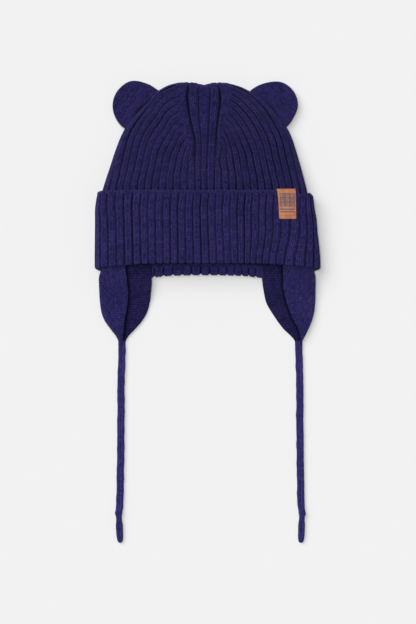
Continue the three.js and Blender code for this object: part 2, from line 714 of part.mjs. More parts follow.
function makeTieEnd(name, table) {
  const rings = table.map(({ y, x, half, thick, slit }) => {
    const base = TIE.liftOff;
    return [
      [0.55, 0], [0.95, 0.25], [0.95, 0.65], [0.55, 1], [0, 1 - slit / thick],
      [-0.55, 1], [-0.95, 0.65], [-0.95, 0.25], [-0.55, 0],
    ].map(([across, up]) => [x + across * half, y, base + up * thick]);
  });
  return piece(name, loft(rings), TIE_MATERIAL);
}

// Label

// Front or inner face of the cuff at a place, as a height above the table
function cuffHeight(x, y, depth) {
  const radius = level(Math.min(y, CUFF_TOP));
  const run = cuffEdgeX(RIGHT, y) - GATHER[RIGHT] - radius;
  return 2 * radius - depth + puffAt((x - GATHER[RIGHT]) / run);
}

function makeLabel() {
  const { thickness, tuck, bottom, topLeft, topRight, footLeft, footRight } = LABEL;
  const half = thickness / 2;
  const clear = SEAT + half;
  const backLeg = (x, y) => cuffHeight(x, y, KNIT) - cuffGap(y) / 2;
  const stations = [
    { y: CUFF_TOP - tuck, height: (x, y) => backLeg(x, y) },
    { y: CUFF_TOP - 0.9, height: (x, y) => backLeg(x, y) },
    { y: CUFF_TOP + clear + 0.1, height: (x) => cuffHeight(x, CUFF_TOP, KNIT * 0.75) },
    { y: CUFF_TOP + clear, height: (x) => cuffHeight(x, CUFF_TOP, KNIT * 0.25) },
    { y: CUFF_TOP - 1.2, height: (x, y) => cuffHeight(x, y, 0) + clear },
    { y: mix(CUFF_TOP, bottom, 0.35), height: (x, y) => cuffHeight(x, y, 0) + clear },
    { y: mix(CUFF_TOP, bottom, 0.7), height: (x, y) => cuffHeight(x, y, 0) + clear },
    { y: bottom, height: (x, y) => cuffHeight(x, y, 0) + clear },
  ];
  const rings = [0, 0.5, 1].map((across) => {
    const line = stations.map(({ y, height }) => {
      const down = THREE.MathUtils.clamp((CUFF_TOP - y) / (CUFF_TOP - bottom), 0, 1);
      const x = mix(mix(topLeft, footLeft, down), mix(topRight, footRight, down), across);
      return { x, y, z: height(x, y) };
    });
    const flat = thicken(line.map((spot) => [spot.y, spot.z]), 0, thickness);
    const count = line.length;
    return flat.map(([y, , z], i) => [line[i < count ? i : 2 * count - 1 - i].x, y, z]);
  });
  const body = new Body();
  body.sheet(rings.map((ring) => [...ring, ring[0]]), false);
  for (const [ring, flip] of [[rings[0], true], [rings[2], false]]) {
    const count = ring.length / 2;
    for (let i = 0; i + 1 < count; i++) {
      const corners = [ring[i], ring[i + 1], ring[2 * count - 2 - i], ring[2 * count - 1 - i]];
      body.quad(...(flip ? corners : corners.reverse()));
    }
  }
  return piece('label', body.geometry(), LEATHER_MATERIAL);
}

const hat = new THREE.Group();
hat.add(
  makeCrown(),
  makeCuff(),
  makeEar('ear_left', EAR.left),
  makeEar('ear_right', EAR.right),
  makeFlap('ear_flap_left', LEFT, FLAP_LEFT),
  makeFlap('ear_flap_right', RIGHT, FLAP_RIGHT),
  makeTie('tie_left', TIE_LEFT),
  makeTie('tie_right', TIE_RIGHT),
  makeTieEnd('tie_end_left', TIE_END_LEFT),
  makeTieEnd('tie_end_right', TIE_END_RIGHT),
  makeLabel(),
);

export default hat;
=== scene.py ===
"""Looks of a child's rib-knit hat with ears, a turned-up cuff, ear flaps and ties, lying on its back.

Lengths are in millimetres up to Shell.build, which turns them into the frame's metres.
+Y runs from the rim to the top of the crown and +Z up from the table at z = 0.
"""
import math

import bmesh
import bpy
import numpy as np
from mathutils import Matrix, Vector


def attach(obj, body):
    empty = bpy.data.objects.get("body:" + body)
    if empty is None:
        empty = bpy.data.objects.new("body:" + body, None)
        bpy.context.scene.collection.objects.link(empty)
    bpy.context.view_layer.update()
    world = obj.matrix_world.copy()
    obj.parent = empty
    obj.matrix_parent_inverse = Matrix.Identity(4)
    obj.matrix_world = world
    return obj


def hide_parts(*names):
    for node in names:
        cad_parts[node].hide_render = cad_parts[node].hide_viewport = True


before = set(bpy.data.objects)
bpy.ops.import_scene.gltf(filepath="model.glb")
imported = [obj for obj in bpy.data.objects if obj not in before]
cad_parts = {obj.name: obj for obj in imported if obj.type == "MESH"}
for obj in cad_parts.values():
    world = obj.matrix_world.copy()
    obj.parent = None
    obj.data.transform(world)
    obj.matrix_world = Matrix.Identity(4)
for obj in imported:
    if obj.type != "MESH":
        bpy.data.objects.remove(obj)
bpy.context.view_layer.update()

MM = 0.001
MERGE = 2e-6  # points nearer than this, in metres, are one
FRONT, BACK = 1, -1
LEFT, RIGHT = -1, 1
SIDE_NAMES = {LEFT: "left", RIGHT: "right"}
END_ANGLES = np.radians([22.5, 45, 67.5])  # places on the round ends of a strip

# Fabric
KNIT = 2.4  # ribbed wall, crest to inner face
JERSEY = 2.2  # wall of the ear flaps
SEAT = 0.35  # clearance between neighbouring pieces
REST = 0.2  # clearance of the crown's back above the table
RIB_GROOVE = 1.25  # depth of a groove between two ribs
GROOVE_WIDTH = 0.85  # half width of a groove
WALE_DIP = 0.22  # dip between the two wales of a rib
COURSE = 2.0  # height of one row of stitches
WALE = 2.1  # width of one column of stitches in the plain knit

# Flattened cross-section
CROWN_EDGE = 5.5  # radius of the crown's turned side edge
PUFF = 7.0  # how far the front rises in the middle
CUFF_FLARE = 1.4  # how far the cuff stands off the crown at its top edge
FLARE_FROM = -10.0
CUFF_TOP = 18.0
SETTLE = 35.0  # height over which the crown comes down to the table above the cuff
SIDE_EASE = 0.3
TURN_SHARE = 0.07  # share of the way out that the turned side edge takes


def table(columns, *rows):
    """A short table with named columns."""
    names = columns.split()
    return {name: np.array([row[i] for row in rows], float) for i, name in enumerate(names)}


# Crown: outline of each side panel, and the lines that run up the middle
GATHER_Y = 35.3
SIDE_RIBS = 13.5
CROWN_OUTLINE = {
    LEFT: table(
        "x y", (-88.0, 19.3), (-84.8, 29.4), (-80.5, 42.8), (-75.8, 56.3), (-70.8, 67.7),
        (-63.5, 78.2), (-48.9, 93.5), (-41.9, 101.2), (-33.5, 106.0), (-25.1, 108.4),
    ),
    RIGHT: table(
        "x y", (82.7, 19.3), (78.4, 36.1), (74.5, 49.6), (70.1, 63.0), (65.4, 71.9),
        (58.1, 81.6), (49.1, 91.4), (38.6, 99.0), (28.2, 104.6), (16.3, 108.2),
    ),
}
MIDDLE = table(
    "foot x y bow low depth width",
    (-10.7, -25.1, 108.4, -3.4, -2.4, 0.1, 0.8),
    (-10.7, -15.4, 109.0, -2.9, 2.2, 1.8, 1.2),
    (-5.7, -8.0, 108.0, -0.4, 1.0, 1.4, 0.9),
    (-0.8, 1.7, 108.2, 0.2, 0.0, 1.4, 0.9),
    (5.4, 7.6, 108.8, 3.2, 0.3, 1.7, 1.1),
    (5.4, 16.3, 108.2, 4.6, 2.4, 0.1, 0.8),
)
MIDDLE_STRIPS = 5
BLOCK_STRIPS = MIDDLE_STRIPS - 2  # those that run on below the gathering points
MIDDLE_PATH = ("foot", "x", "y", "bow", "low")
TOP_DENT = 1.4
DECREASE_BAND = 1.2  # width over which the ribs run out at the decrease lines
LINE_START = {LEFT: 0.1, RIGHT: 0.229}  # share of the decrease line at which the innermost rib ends
LINE_PITCH = {LEFT: 0.0769, RIGHT: 0.0674}  # share of the line that each rib takes
LEAN = {LEFT: (2.1, 1.0), RIGHT: (3.0, 2.3)}  # how late the inner and the outer ribs lean in to the line
ROLL_FROM = {LEFT: 0.1, RIGHT: 0.3}  # where the outermost rib becomes a plain roll along the edge
LINE_LEAST = 0.35  # least place of a rib along the line, in ribs
ROLL_EASE = 0.15
EAR_GROOVE = 11  # the groove beside the ears is deeper
EAR_GROOVE_MORE = 0.7
EAR_GROOVE_WIDTH = 0.245  # in ribs
EAR_ROOTS = table("at width strength", (0.61, 0.13, 1), (0.92, 0.06, 0.8))  # where the ears join the outline
ROLL_BAND = (EAR_GROOVE + 0.45, EAR_GROOVE + 0.75)
GATHER = {LEFT: MIDDLE["foot"][0], RIGHT: MIDDLE["foot"][-1]}

# Cuff
CUFF_RIBS = 31
FOLD_RADIUS = (2 * KNIT + SEAT) / 2
INNER_LEG = 11.0  # how far the turned part runs up inside the rim
CUFF_EDGES = table(
    "y left right", (-48.0, -94.9, 94.5), (-38.0, -95.0, 94.2), (-28.0, -94.9, 93.3), (-17.5, -94.8, 92.0),
    (-7.5, -94.7, 91.3), (2.5, -94.6, 89.5), (12.5, -93.2, 88.4), (18.0, -92.4, 87.6),
)
TOP_CORNERS = table(
    "share left right", (0.8, 0, 0), (0.87, 0, 0.6), (0.93, 0.1, 3.6), (0.97, 0.4, 2.2), (1, 1.4, 4.4),
)
RIM = table(
    "share front back", (0, -43.4, -53.2), (0.25, -43.4, -53.8), (0.5, -43.8, -55.6),
    (0.75, -45.3, -54.7), (0.92, -46.8, -51.5), (1, -48.6, -48.6),
)
RIB_DRIFT = table(
    "rib top middle fold", (0, 0, 0, 0), (1.5, -1.5, 0, 0), (6.5, 2.2, 1.8, 2.1), (11.5, 2.9, 1.6, 1.0),
    (16.5, 3.0, 1.4, 1.3), (20.5, 2.7, 0.4, -1.3), (22.5, 2.3, -0.1, -4.4), (24.5, 2.0, -0.9, -6.4),
    (26.5, 4.0, 0.6, -6.4), (27.5, 5.4, 2.7, -4.4), (28.5, 3.9, 2.7, -1.9), (31, 0, 0, 0),
)
BACK_DRIFT = table(
    "rib fold", (0, 0), (3.5, -2.0), (9.5, -6.2), (11.5, -3.6), (14.5, 0.6), (17.5, 3.3), (21.5, 1.9),
    (26.5, 0.6), (31, 0),
)
BACK_DRIFT_ENDS = (3.0, 22.0)  # heights above the fold between which the back's ribs come back to even places

# Ears
EAR_RADIUS = 20.7
EAR_HALF = 2.4
EAR_EDGE = 1.7
EAR_HEIGHT = 4.3
EAR_CENTRES = {LEFT: (-59.1, 89.4), RIGHT: (55.1, 89.4)}
EAR_GRAIN = {LEFT: 38.0, RIGHT: -38.0}  # degrees by which the ear's wales lean
EAR_CREASE = {LEFT: 50.0, RIGHT: 128.0}
EAR_RIM = table(
    "angle left right", (-90, 1.5, 1.5), (-60, 1.5, 0.4), (-30, 0.5, -1.0), (0, 0.2, -0.3), (45, 0.1, -0.1),
    (75, 0.4, -0.2), (90, -0.2, -0.7), (105, -0.8, -0.8), (120, -0.6, -0.2), (135, -0.1, 1.0),
    (150, 1.5, 2.5), (270, 1.5, 1.5),
)

# Ear flaps: x of the fold, of the front half's edge and of the back half's edge
FLAP_FOLD_GAP = 1.6
FLAP_RISE = (-80.0, -57.0)  # heights between which the back half goes up into the hat
FLAP_LIFT = (-74.0, -47.0)  # and the front half
FLAP_THIN = (-112.0, -100.0)  # and where the flap narrows down to its tie
FLAPS = {
    LEFT: table(
        "y fold front back",
        (-112.0, -75.2, -71.5, -69.1), (-108.0, -75.4, -71.3, -68.9), (-105.0, -76.8, -71.2, -67.2),
        (-98.0, -82.0, -70.5, -60.8), (-91.5, -86.6, -69.8, -55.2), (-85.0, -89.2, -68.6, -51.4),
        (-78.0, -90.4, -67.5, -49.2), (-65.5, -91.2, -66.9, -47.5), (-54.0, -91.2, -68.2, -47.0),
        (-47.0, -89.0, -69.0, -47.0), (-40.0, -87.6, -68.5, -47.8), (-33.0, -87.2, -68.0, -48.5),
    ),
    RIGHT: table(
        "y fold front back",
        (-112.0, 79.3, 77.0, 73.1), (-108.0, 79.6, 77.1, 72.8), (-105.0, 81.1, 77.4, 70.5),
        (-98.0, 84.6, 75.8, 63.3), (-91.5, 87.3, 72.2, 58.3), (-85.0, 89.1, 69.2, 54.0),
        (-78.0, 90.0, 66.8, 49.8), (-65.5, 90.3, 63.8, 46.6), (-54.0, 90.1, 63.0, 45.2),
        (-47.0, 88.6, 62.8, 45.0), (-40.0, 87.8, 62.6, 45.0), (-33.0, 87.2, 62.6, 45.0),
    ),
}

# Ties: flat knitted cords that lie on the table, and their twisted ends
TIE_WIDTH = 6.1
TIE_THICKNESS = 3.6
TIE_LIFT = 0.1
TIE_ROUTES = table(
    "y left right", (-105.0, -71.9, 76.0), (-111.0, -72.0, 76.2), (-118.0, -72.2, 76.3),
    (-127.0, -72.4, 76.7), (-136.5, -72.8, 77.0), (-145.5, -73.0, 77.1), (-154.0, -73.0, 77.15),
    (-162.5, -73.0, 77.2), (-171.0, -73.05, 77.2), (-179.5, -73.1, 77.2), (-188.0, -73.15, 77.3),
    (-196.5, -73.2, 77.4), (-205.0, -73.3, 77.5), (-213.5, -73.4, 77.6), (-222.0, -73.55, 77.7),
    (-230.5, -73.7, 77.8), (-238.5, -73.9, 78.0), (-246.5, -74.2, 78.3),
)
TIE_ENDS = {
    LEFT: table(
        "y x half thick slit", (-250.2, -74.6, 2.9, 4.4, 0.4), (-252.8, -75.0, 3.1, 4.9, 0.8),
        (-255.6, -74.8, 2.5, 4.2, 0.4), (-258.4, -74.6, 2.4, 3.6, 0.4), (-262.5, -74.4, 2.9, 3.8, 0.9),
        (-268.0, -74.2, 2.9, 3.8, 1.1), (-273.0, -74.0, 2.7, 3.4, 0.8), (-276.2, -73.8, 2.2, 3.0, 0.4),
        (-277.8, -73.7, 2.0, 2.8, 0.2),
    ),
    RIGHT: table(
        "y x half thick slit", (-250.2, 78.7, 2.8, 4.4, 0.4), (-253.2, 79.2, 3.0, 4.9, 0.8),
        (-256.0, 79.0, 2.4, 4.2, 0.4), (-258.8, 78.8, 2.4, 3.6, 0.4), (-262.5, 78.7, 2.8, 3.8, 0.9),
        (-268.0, 78.5, 2.8, 3.8, 1.1), (-273.0, 78.3, 2.7, 3.4, 0.8), (-276.2, 78.2, 2.2, 3.0, 0.4),
        (-277.8, 78.2, 2.0, 2.8, 0.2),
    ),
}

# Label
LABEL_SIZE = (14.8, 23.9)  # over which the print is laid out
LABEL_THICKNESS = 0.8
LABEL_TUCK = 5.0
LABEL_BOTTOM = -5.9
LABEL_TOP = (57.4, 73.2)
LABEL_FOOT = (59.5, 73.9)
LABEL_FLARE = 0.45  # how soon below its top the label reaches the width of its foot

# Crown, fine detail
DIP_WIDTH = 0.55  # half width of the dip between two wales
DIP_FROM = (3.0, 5.0)  # widths at which a strip's dip begins and is full
UNEVEN = 0.04  # how far a rib strays from its even place, in ribs
STRAYS = (21, 7)  # how often it strays, across a panel and along it
VARY = 0.25  # how much the depth of the grooves varies
VARIES = (2.3, 5)  # how often, across a panel and along it
TOP_FLATTER = 0.15  # how much shallower the side ribs are at the outline
OUTER_LINE_RISE = 0.125  # share of its way in which a decrease line gets its own depth
LINE_RISE = (0.2, 0.7)  # and the lines between
TOP_FADE = (0.84, 0.98)  # where the lines run out towards the outline
TOP_FADE_BY = 0.6
LOW_BOW_END = 0.6  # share of a row up to which its low bow reaches
TUBE_EASE = 3  # how soon the rows below the fan reach the side edge
BLOCK_EASE = 0.06
GRIP = 0.6  # how far the cuff draws the crown in
GRIP_ABOVE, GRIP_WIDTH = 0.8, 1.5
# painted shade in the crease where the cuff draws the crown in
GRIP_SHADE = 0.5
CROWN_SHADE = {LEFT: 0.85, RIGHT: 1.1}  # how dark the painted shade in the grooves is
FREE_FROM = 2.5  # height above which the crown's side edge leaves the cuff's line
CROWN_FOOT = INNER_LEG + SEAT  # height of the crown's lower edge above the fold
TUBE_LENGTH = 75.0

# Cuff, fine detail
RIB_PITCH = 6.3
RIB_STEPS = 12
EDGE_STEPS, FACE_STEPS, FOLD_STEPS, LEG_STEPS, LEG_END_STEPS, INSIDE_STEPS = 8, 41, 12, 5, 5, 6
INNER_FROM = EDGE_STEPS + FACE_STEPS + 8  # station on the underside of the fold from which the painted light inside the rim holds
TOP_NOTCH = 0.35  # how far a groove cuts into the cuff's top edge
EDGE_PROUD = 0.15  # how far the cast-on edge stands out
EDGE_TURN = (math.pi / 2, 0.9 * math.pi)  # where on the rounded top it begins
EDGE_ENDS = (1.2, 2.2)  # and how far below the top it ends
EDGE_LINE, EDGE_LINE_AT, EDGE_LINE_WIDTH = 0.35, 2.4, 0.5  # the line below the cast-on edge
RIBS_BEGIN = (1.4, 4.0)  # distances below the top over which the ribs begin
INNER_FADE = 4.0  # length over which they end inside the rim
CUFF_LIGHTER, RIM_PAINTED_LIGHT = 0.2, 0.5  # how much lighter the cuff's outside is, and how much painted light brightens the inside of its rim, which lies in the front's shadow

# Ears, fine detail
EAR_STEPS = 161
OUTLINE_STEPS = 400
EAR_RIM_INSETS = np.array([0.1, 0.08, 0.055, 0.035, 0.018, 0.006, 0.0])
EAR_RINGS = np.concatenate([np.linspace(0, 0.88, 16), 1 - EAR_RIM_INSETS])
EAR_MIDDLE = 0.8  # thickness in the middle, as a share of the rim's
EAR_FOLD, EAR_FOLD_WIDTH = 1.0, 3.0
EAR_DENT, EAR_DENT_SIZE = 0.25, 4.0
EAR_CUP = 0.6
EAR_OVERLAP = 0.1
EAR_BACK_FOLLOWS = 0.5  # how much of the front's unevenness the middle of the back shows
EAR_SEATED = 2.0  # how far inside the free rim the shade beside the crown is full
EAR_SHADES = ((0.9, 1.6), (0.6, 9.0))  # its strengths and widths

# Ear flaps, fine detail
FLAP_ROWS = 83
FLAP_BACK_STEPS, FLAP_FRONT_STEPS = 34, 26
FLAP_TURN = np.radians(np.linspace(-75, 75, 9))
FLAP_TURN_MOST = 0.4  # most that the turn takes of the front half's width
FLAP_TIP_KNIT, FLAP_TIP_GAP = 0.75, 0.1  # shares of the thickness and the gap left at the tie
PURL_SIDE = 100.0  # added to the place across the knit on the inner face of a flap
FLAP_SHADE, FLAP_SHADE_WIDTH = 1.5, 2.4  # on the back half, beside the front half's edge
FLAP_LIGHTER = 0.18

# Ties, fine detail
TIE_STEP, TIE_AROUND = 0.9, 33
TIE_VALLEY, VALLEY_WIDTH = 0.75, 0.3  # groove between the two rolls; its width is a share of the tie's
TIE_WAIST = 0.36  # height of the section's widest place, as a share of its thickness
TIE_SIDE, TIE_TOP, TIE_UNDER = 0.85, 0.62, 0.5  # how round its sides, top and underside are
TIE_GROWS = (105.0, 113.0)  # distances below y = 0 between which a tie comes out of its flap
TIE_START = (0.7, 0.4)  # shares of its width and thickness in the flap
TIE_TIP = (0.12, 0.25)  # and at its tip
TIE_SWAY, SWAY_LENGTH = 0.18, 2.1
TIE_PINCH, PINCH_LENGTH = 0.05, 1.3
END_CALM = 0.3  # how much of the sway and pinch the tie's end has
TIE_WALES = 8
TIE_COURSE = 1.9
TIP_STEPS = np.array([1.5, 1.1, 0.75, 0.45, 0.2, 0.06, 0.0])
TIP_ROUND = 2.0

# Label, fine detail
LABEL_HIDDEN = (LABEL_TUCK, 2.5, 0.9)  # places on the hidden leg, below the cuff's top edge
LABEL_OVER = (0.78, 0.5, 0.22)  # places over the edge, as shares of the knit's thickness
LABEL_BULGE = (0.75, 0.5)  # clearance at the edge's corners, and how much more in the middle
LABEL_STEPS = 22
LABEL_INSETS = np.array([0, 0.04, 0.12, 0.28, 0.6, 1.1])
LABEL_INNER_SHARES = np.linspace(0.12, 0.88, 11)
LABEL_RIM = 0.25  # thickness of the cut edge, as a share of the leather's
LABEL_CORNER = 1.1
LABEL_ROUND = 0.3
PANEL_ACROSS, PANEL_UP = (0.1, 0.94), (0.42, 0.88)  # the printed panel, as shares of the label
PANEL_RING = (0.75, 1.35)  # inner and outer radius
PRINT_BARS = ((0.3, 0.345), (0.215, 0.26))
STITCHES_ACROSS = np.linspace(0.16, 0.84, 7)
STITCH_UP = 2.6
STITCH_PROUD = 0.05
STITCH_SIZE = (0.55, 0.2, 0.16)

# Yarn
STITCH_RELIEF = 0.0005  # metres
FUZZ = 0.55  # height of the fuzz as a share of a stitch's
MOTTLE = 0.3  # how much one stitch differs in brightness from the next
STITCH_SLOPE = 1.3  # how steeply the legs of a stitch run
ROW_RELIEF = 0.65  # how much lower the knit is between two rows
WALE_SHARE = 0.36  # width of a rib's column of stitches, in ribs
PURL_HEIGHT, PURL_SWAY, PURL_BEAT = 0.85, 0.16, 0.12
STREAK_SCALE = (2.3, 0.09)
STREAK_SHARE = 0.55  # the streaks' part in the colour; the rest is the patches'
TONES = (0.36, 0.64)  # tones at which the yarn is all blue and all purple
BETWEEN_STITCHES, ON_STITCHES = 0.52, 0.72  # painted shade between the stitches: brightness there, and what their height adds
OUTSIDE_LIGHT, PURL_LIGHT, TIE_LIGHT = 1.12, 0.74, 1.82

# Leather and thread
LEATHER_RELIEF, THREAD_RELIEF = 0.00012, 0.0001  # metres
GRAIN_HEIGHT, PRINT_DEPTH = 0.6, 0.5  # their parts in the leather's relief
CLOUDS = (0.35, 0.7)  # strengths of the clouds at which the leather is all dark and all light
GRAIN_LEAST, GRAIN_MORE = 0.86, 0.26  # least brightness of the grain, and what its height adds
PRINT_WORN = (0.25, 0.42)  # heights of the grain at which the print is worn off and whole
PRINT_STRENGTH = 0.86
THREAD_LEAST, THREAD_MORE = 0.7, 0.5

# Colours
YARN_BLUE = (0.0192, 0.0172, 0.0880, 1)
YARN_PURPLE = (0.0272, 0.0208, 0.1030, 1)
SHEEN = (0.30, 0.27, 0.75, 1)
LEATHER_LIGHT = (0.60, 0.24, 0.12, 1)
LEATHER_DARK = (0.45, 0.16, 0.075, 1)
PRINT_GREY = (0.115, 0.09, 0.12, 1)
THREAD = (0.42, 0.13, 0.05, 1)
FLOOR = (0.9, 0.9, 0.9, 1)

# Light
WINDOW_FROM = (-0.62, 0.62, 1.0)
WINDOW_STRENGTH = 1.52
WINDOW_SPREAD = 44.0
TOP_FROM = (-0.04, 0.04, 1.0)
TOP_STRENGTH = 1.55
TOP_SPREAD = 16.0
ROOM_STRENGTH = 0.13

# Floor
FLOOR_REACH, FLOOR_BELOW = 3.0, 0.0003  # metres
FLOOR_SPECK = 0.01

# Camera: straight above the hat, as far off as a long lens puts it
VIEW_CENTRE = (0.1, -84.0)
VIEW_HEIGHT = 524.2
LENS, SENSOR = 250.0, 36.0


# Helpers

def mix(a, b, t):
    return a + (b - a) * t


def bell(distance, width):
    return np.exp(-(distance / width) ** 2)


def stacked(*parts):
    """Points or places with a column for each part; a lone number fills its column."""
    return np.stack(np.broadcast_arrays(*parts), axis=-1)


def steps(start, end, count):
    """Even steps up to the end that leave the start out."""
    return np.linspace(start, end, count + 1)[1:]


def smooth(value, start, end):
    t = np.clip((value - start) / (end - start), 0, 1)
    return t * t * (3 - 2 * t)


def curve_at(xs, ys, x):
    """A smooth curve through points with rising xs, held level past its ends."""
    xs, ys, x = np.asarray(xs, float), np.asarray(ys, float), np.asarray(x, float)
    slope = np.gradient(ys, xs)
    i = np.clip(np.searchsorted(xs, x) - 1, 0, len(xs) - 2)
    width = xs[i + 1] - xs[i]
    t = np.clip((x - xs[i]) / width, 0, 1)
    return (
        (2 * t**3 - 3 * t**2 + 1) * ys[i] + (t**3 - 2 * t**2 + t) * width * slope[i]
        + (3 * t**2 - 2 * t**3) * ys[i + 1] + (t**3 - t**2) * width * slope[i + 1]
    )


def lookup(rows, column, x):
    """A column of a table as a smooth curve over the table's first column."""
    return curve_at(next(iter(rows.values())), rows[column], x)


def lengths_along(points):
    """Distance of each point from the first, along the line through them."""
    return np.concatenate([[0], np.cumsum(np.linalg.norm(np.diff(points, axis=0), axis=1))])


def evenly_along(xs, ys, count):
    """Points evenly spaced along a smooth curve through the given ones, and the curve's length."""
    knots = np.arange(len(xs))
    fine = np.linspace(0, len(xs) - 1, 60 * len(xs))
    x, y = curve_at(knots, xs, fine), curve_at(knots, ys, fine)
    along = lengths_along(stacked(x, y))
    at = np.linspace(0, along[-1], count)
    return np.interp(at, along, x), np.interp(at, along, y), along[-1]


def waves(a, b, seed):
    """A slow, even unevenness between -1 and 1."""
    first = np.sin(a + 1.7 * seed)
    second = np.sin(0.61 * a + 1.3 * b + 2.9 * seed)
    third = np.sin(1.73 * b - 0.37 * a + 4.1 * seed)
    return (first + second + third) / 3


class Shell:
    """Collects grids of points, each with its place in the knit and maybe its painted shade and lighter
    marks, into one closed mesh.
    """

    def __init__(self):
        self.points, self.knit, self.faces = [], [], []
        self.count = 0

    def grid(self, points, knit):
        points, knit = np.asarray(points, float), np.asarray(knit, float)
        shape = points.shape[:2]
        index = self.count + np.arange(shape[0] * shape[1]).reshape(shape)
        self.count += index.size
        self.points.append(points.reshape(-1, 3))
        self.knit.append(knit.reshape(-1, knit.shape[-1]))
        quads = np.stack([index[:-1, :-1], index[1:, :-1], index[1:, 1:], index[:-1, 1:]], axis=-1)
        self.faces.extend(quads.reshape(-1, 4).tolist())
        return index

    def zip(self, a, b):
        """Joins two rows of points that run side by side and may differ in number."""
        i = j = 0
        while i < len(a) - 1 or j < len(b) - 1:
            if j == len(b) - 1 or (i < len(a) - 1 and (i + 1) * (len(b) - 1) <= (j + 1) * (len(a) - 1)):
                self.faces.append([int(a[i]), int(a[i + 1]), int(b[j])])
                i += 1
            else:
                self.faces.append([int(a[i]), int(b[j + 1]), int(b[j])])
                j += 1

    def ladder(self, ring):
        """Fills a ring whose point k faces point -k across its middle line."""
        ring = [int(i) for i in ring]
        half = len(ring) // 2
        self.faces.append([ring[0], ring[1], ring[-1]])
        for k in range(1, half - 1):
            self.faces.append([ring[k], ring[k + 1], ring[-k - 1], ring[-k]])
        self.faces.append([ring[half - 1], ring[half], ring[half + 1]])

    def tube(self, rows, knit):
        """A grid of rings that each end where they start, filled at both ends."""
        index = self.grid(rows, knit)
        self.ladder(index[0][:-1])
        self.ladder(index[-1][:-1])

    def build(self, name, material):
        """Columns 0 and 1 of the places become the map Knit, and any more the map Relief, which carries
        painted shade and marks of lighter places.
        """
        points, knit = np.concatenate(self.points) * MM, np.concatenate(self.knit)
        mesh = bpy.data.meshes.new(name)
        mesh.from_pydata(points.tolist(), [], self.faces)
        corners = np.empty(len(mesh.loops), np.int32)
        mesh.loops.foreach_get("vertex_index", corners)
        for column, map_name in ((0, "Knit"), (2, "Relief"))[: knit.shape[1] - 1]:
            layer = mesh.uv_layers.new(name=map_name)
            pair = np.zeros((len(corners), 2), np.float32)
            pair[:, : knit.shape[1] - column] = knit[corners, column : column + 2]
            layer.data.foreach_set("uv", pair.ravel())
        work = bmesh.new()
        work.from_mesh(mesh)
        bmesh.ops.remove_doubles(work, verts=work.verts, dist=MERGE)
        bmesh.ops.recalc_face_normals(work, faces=work.faces)
        for face in work.faces:
            face.smooth = True
        work.to_mesh(mesh)
        work.free()
        return place_piece(name, mesh, material)


def add_object(name, data):
    made = bpy.data.objects.new(name, data)
    bpy.context.scene.collection.objects.link(made)
    return made


def place_piece(name, mesh, material):
    mesh.materials.append(material)
    piece = add_object(name, mesh)
    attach(piece, "root")
    return piece


def strip_ring(line, half):
    """A ring round a line in a plane at half its thickness, with round ends; point k faces point -k."""
    line = np.asarray(line, float)
    along = np.gradient(line, axis=0)
    along /= np.linalg.norm(along, axis=1)[:, None]
    left = stacked(-along[:, 1], along[:, 0])

    def round_end(i, toward, sign, angles):
        a = angles[:, None]
        return line[i] + half * (toward * along[i] * np.cos(a) + sign * left[i] * np.sin(a))

    def one_side(sign):
        start, end = round_end(0, -1, sign, END_ANGLES), round_end(-1, 1, sign, END_ANGLES[::-1])
        return np.concatenate([start, line + sign * left * half, end])

    first, last = line[0] - along[0] * half, line[-1] + along[-1] * half
    return np.concatenate([[first], one_side(1), [last], one_side(-1)[::-1]])


def ring_values(one_side):
    """Values of one side of a ring, and again those of the points that face them."""
    return np.concatenate([one_side, one_side[-2:0:-1]])


def closed(rows):
    """Rings that end where they start."""
    rows = np.array(rows)
    return np.concatenate([rows, rows[:, :1]], axis=1)


def rib_depth(ribs, pitch):
    """Depth below the crests at a place counted in ribs, where a whole number is a groove."""
    from_groove = np.abs(ribs - np.round(ribs)) * pitch
    from_crest = np.abs(ribs - np.floor(ribs) - 0.5) * pitch
    return RIB_GROOVE * bell(from_groove, GROOVE_WIDTH) + WALE_DIP * bell(from_crest, DIP_WIDTH)


# Cross-section shared by the crown and the cuff

def cuff_gap(y):
    return SEAT + CUFF_FLARE * np.clip((y - FLARE_FROM) / (CUFF_TOP - FLARE_FROM), 0, 1)


def level(y):
    """Height at which the crown's side edge runs."""
    in_cuff = CROWN_EDGE + KNIT + cuff_gap(y)
    return mix(in_cuff, CROWN_EDGE + REST, smooth(y, CUFF_TOP, CUFF_TOP + SETTLE))


def puff_at(face, share):
    """How far the front rises, from the middle out to the side edge."""
    return PUFF * (1 - np.clip(share, 0, 1) ** 2) if face == FRONT else 0


def outward(flat, run, angle):
    """How far out a place is, from 0 in the middle to 1 at the side edge."""
    return (1 - TURN_SHARE) * np.clip(flat / run, 0, 1) + TURN_SHARE * np.sin(angle)


def rim_y(face, share):
    return lookup(RIM, "front" if face == FRONT else "back", share)


def cuff_edge_x(side, y):
    return lookup(CUFF_EDGES, SIDE_NAMES[side], y)


def crown_edge_x(side, y):
    start_x, start_y = CROWN_OUTLINE[side]["x"][0], CROWN_OUTLINE[side]["y"][0]

    def inside(at):
        return cuff_edge_x(side, at) - side * (KNIT + cuff_gap(at) + SIDE_EASE)

    freed = mix(inside(FREE_FROM), start_x, (y - FREE_FROM) / (start_y - FREE_FROM))
    return np.where(y <= FREE_FROM, inside(y), freed)


# Crown

